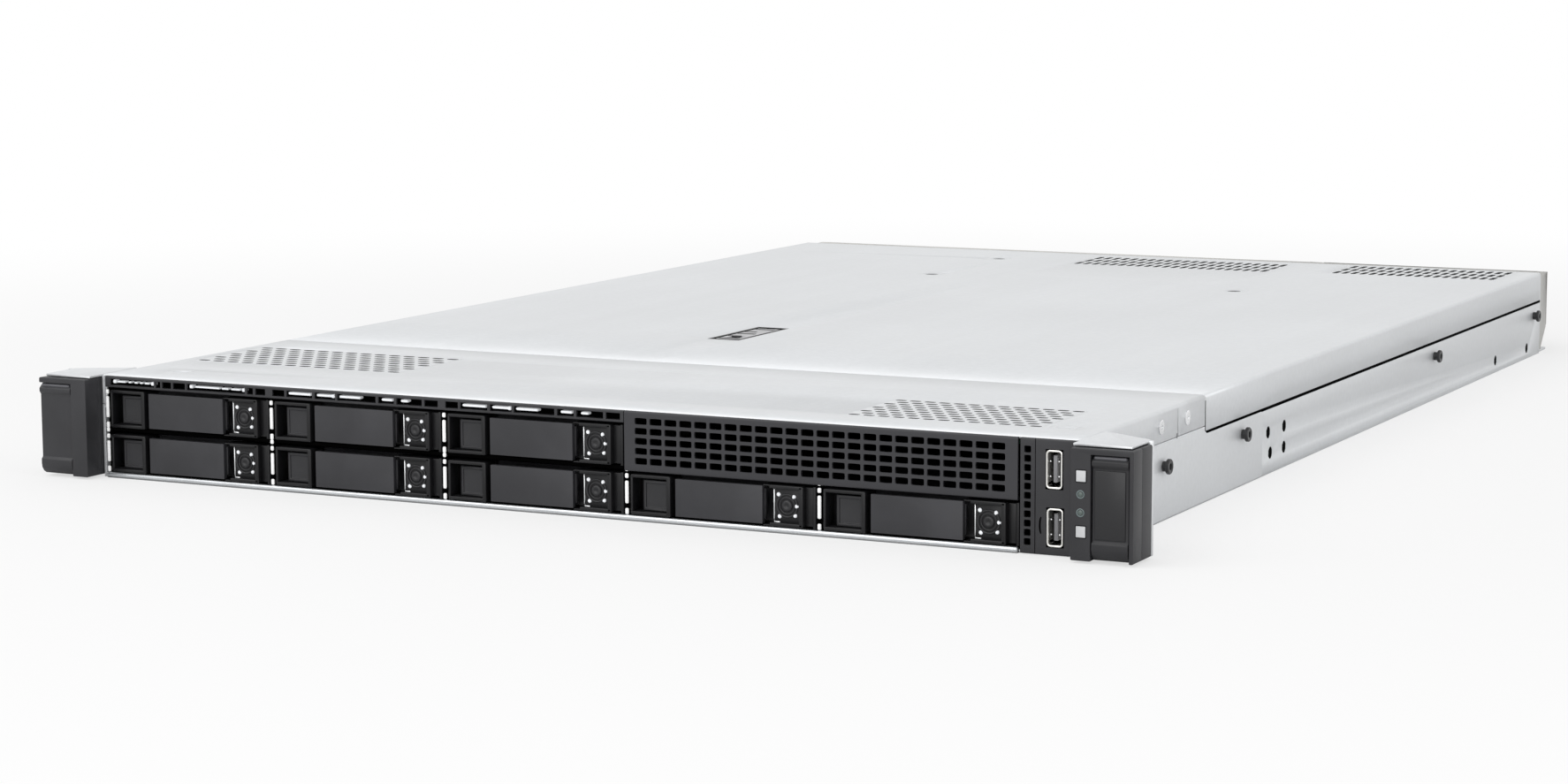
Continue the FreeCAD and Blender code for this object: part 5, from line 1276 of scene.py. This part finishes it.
class SERVER_OT_front(bpy.types.Operator):
    """Bezel strip, perforated panel, port panel and its ports"""
    bl_idname = "server.front"
    bl_label = "Front"
    bl_options = {"REGISTER", "UNDO"}

    def execute(self, context):
        front()
        return {"FINISHED"}


class SERVER_OT_ears(bpy.types.Operator):
    """Rack ears with levers, buttons and lamps"""
    bl_idname = "server.ears"
    bl_label = "Ears"
    bl_options = {"REGISTER", "UNDO"}

    def execute(self, context):
        ears()
        return {"FINISHED"}


class SERVER_OT_inside(bpy.types.Operator):
    """Boards, fans, baffle and heatsink"""
    bl_idname = "server.inside"
    bl_label = "Inside"
    bl_options = {"REGISTER", "UNDO"}

    def execute(self, context):
        inside()
        return {"FINISHED"}


class SERVER_OT_rear(bpy.types.Operator):
    """Rear panel, its connectors and the power supplies"""
    bl_idname = "server.rear"
    bl_label = "Rear"
    bl_options = {"REGISTER", "UNDO"}

    def execute(self, context):
        rear()
        return {"FINISHED"}


class SERVER_OT_stage(bpy.types.Operator):
    """Floor, lamps and camera"""
    bl_idname = "server.stage"
    bl_label = "Stage"
    bl_options = {"REGISTER", "UNDO"}

    def execute(self, context):
        studio(context.scene.server_stage)
        return {"FINISHED"}


PIECES = (SERVER_OT_covers, SERVER_OT_chassis, SERVER_OT_drives, SERVER_OT_front, SERVER_OT_ears,
          SERVER_OT_inside, SERVER_OT_rear, SERVER_OT_stage)
GROUPS = (("server_finish", ServerFinish), ("server_shape", ServerShape), ("server_stage", ServerStage))


class SERVER_PT_panel(bpy.types.Panel):
    """Everything that builds the server's looks"""
    bl_idname = "SERVER_PT_panel"
    bl_label = "Server"
    bl_space_type = "VIEW_3D"
    bl_region_type = "UI"
    bl_category = "Server"

    def draw(self, context):
        for name, group in GROUPS:
            column = self.layout.column()
            for key in group.__annotations__:
                column.prop(getattr(context.scene, name), key)
        for piece in PIECES:
            self.layout.operator(piece.bl_idname)


def register():
    for name, group in GROUPS:
        bpy.utils.register_class(group)
        setattr(bpy.types.Scene, name, bpy.props.PointerProperty(type=group))
    for piece in (*PIECES, SERVER_PT_panel):
        bpy.utils.register_class(piece)


def unregister():
    for piece in reversed((*PIECES, SERVER_PT_panel)):
        bpy.utils.unregister_class(piece)
    for name, group in reversed(GROUPS):
        delattr(bpy.types.Scene, name)
        bpy.utils.unregister_class(group)


def main():
    register()
    for piece in PIECES:
        area, name = piece.bl_idname.split(".")
        getattr(getattr(bpy.ops, area), name)()


if __name__ == "__main__":
    main()
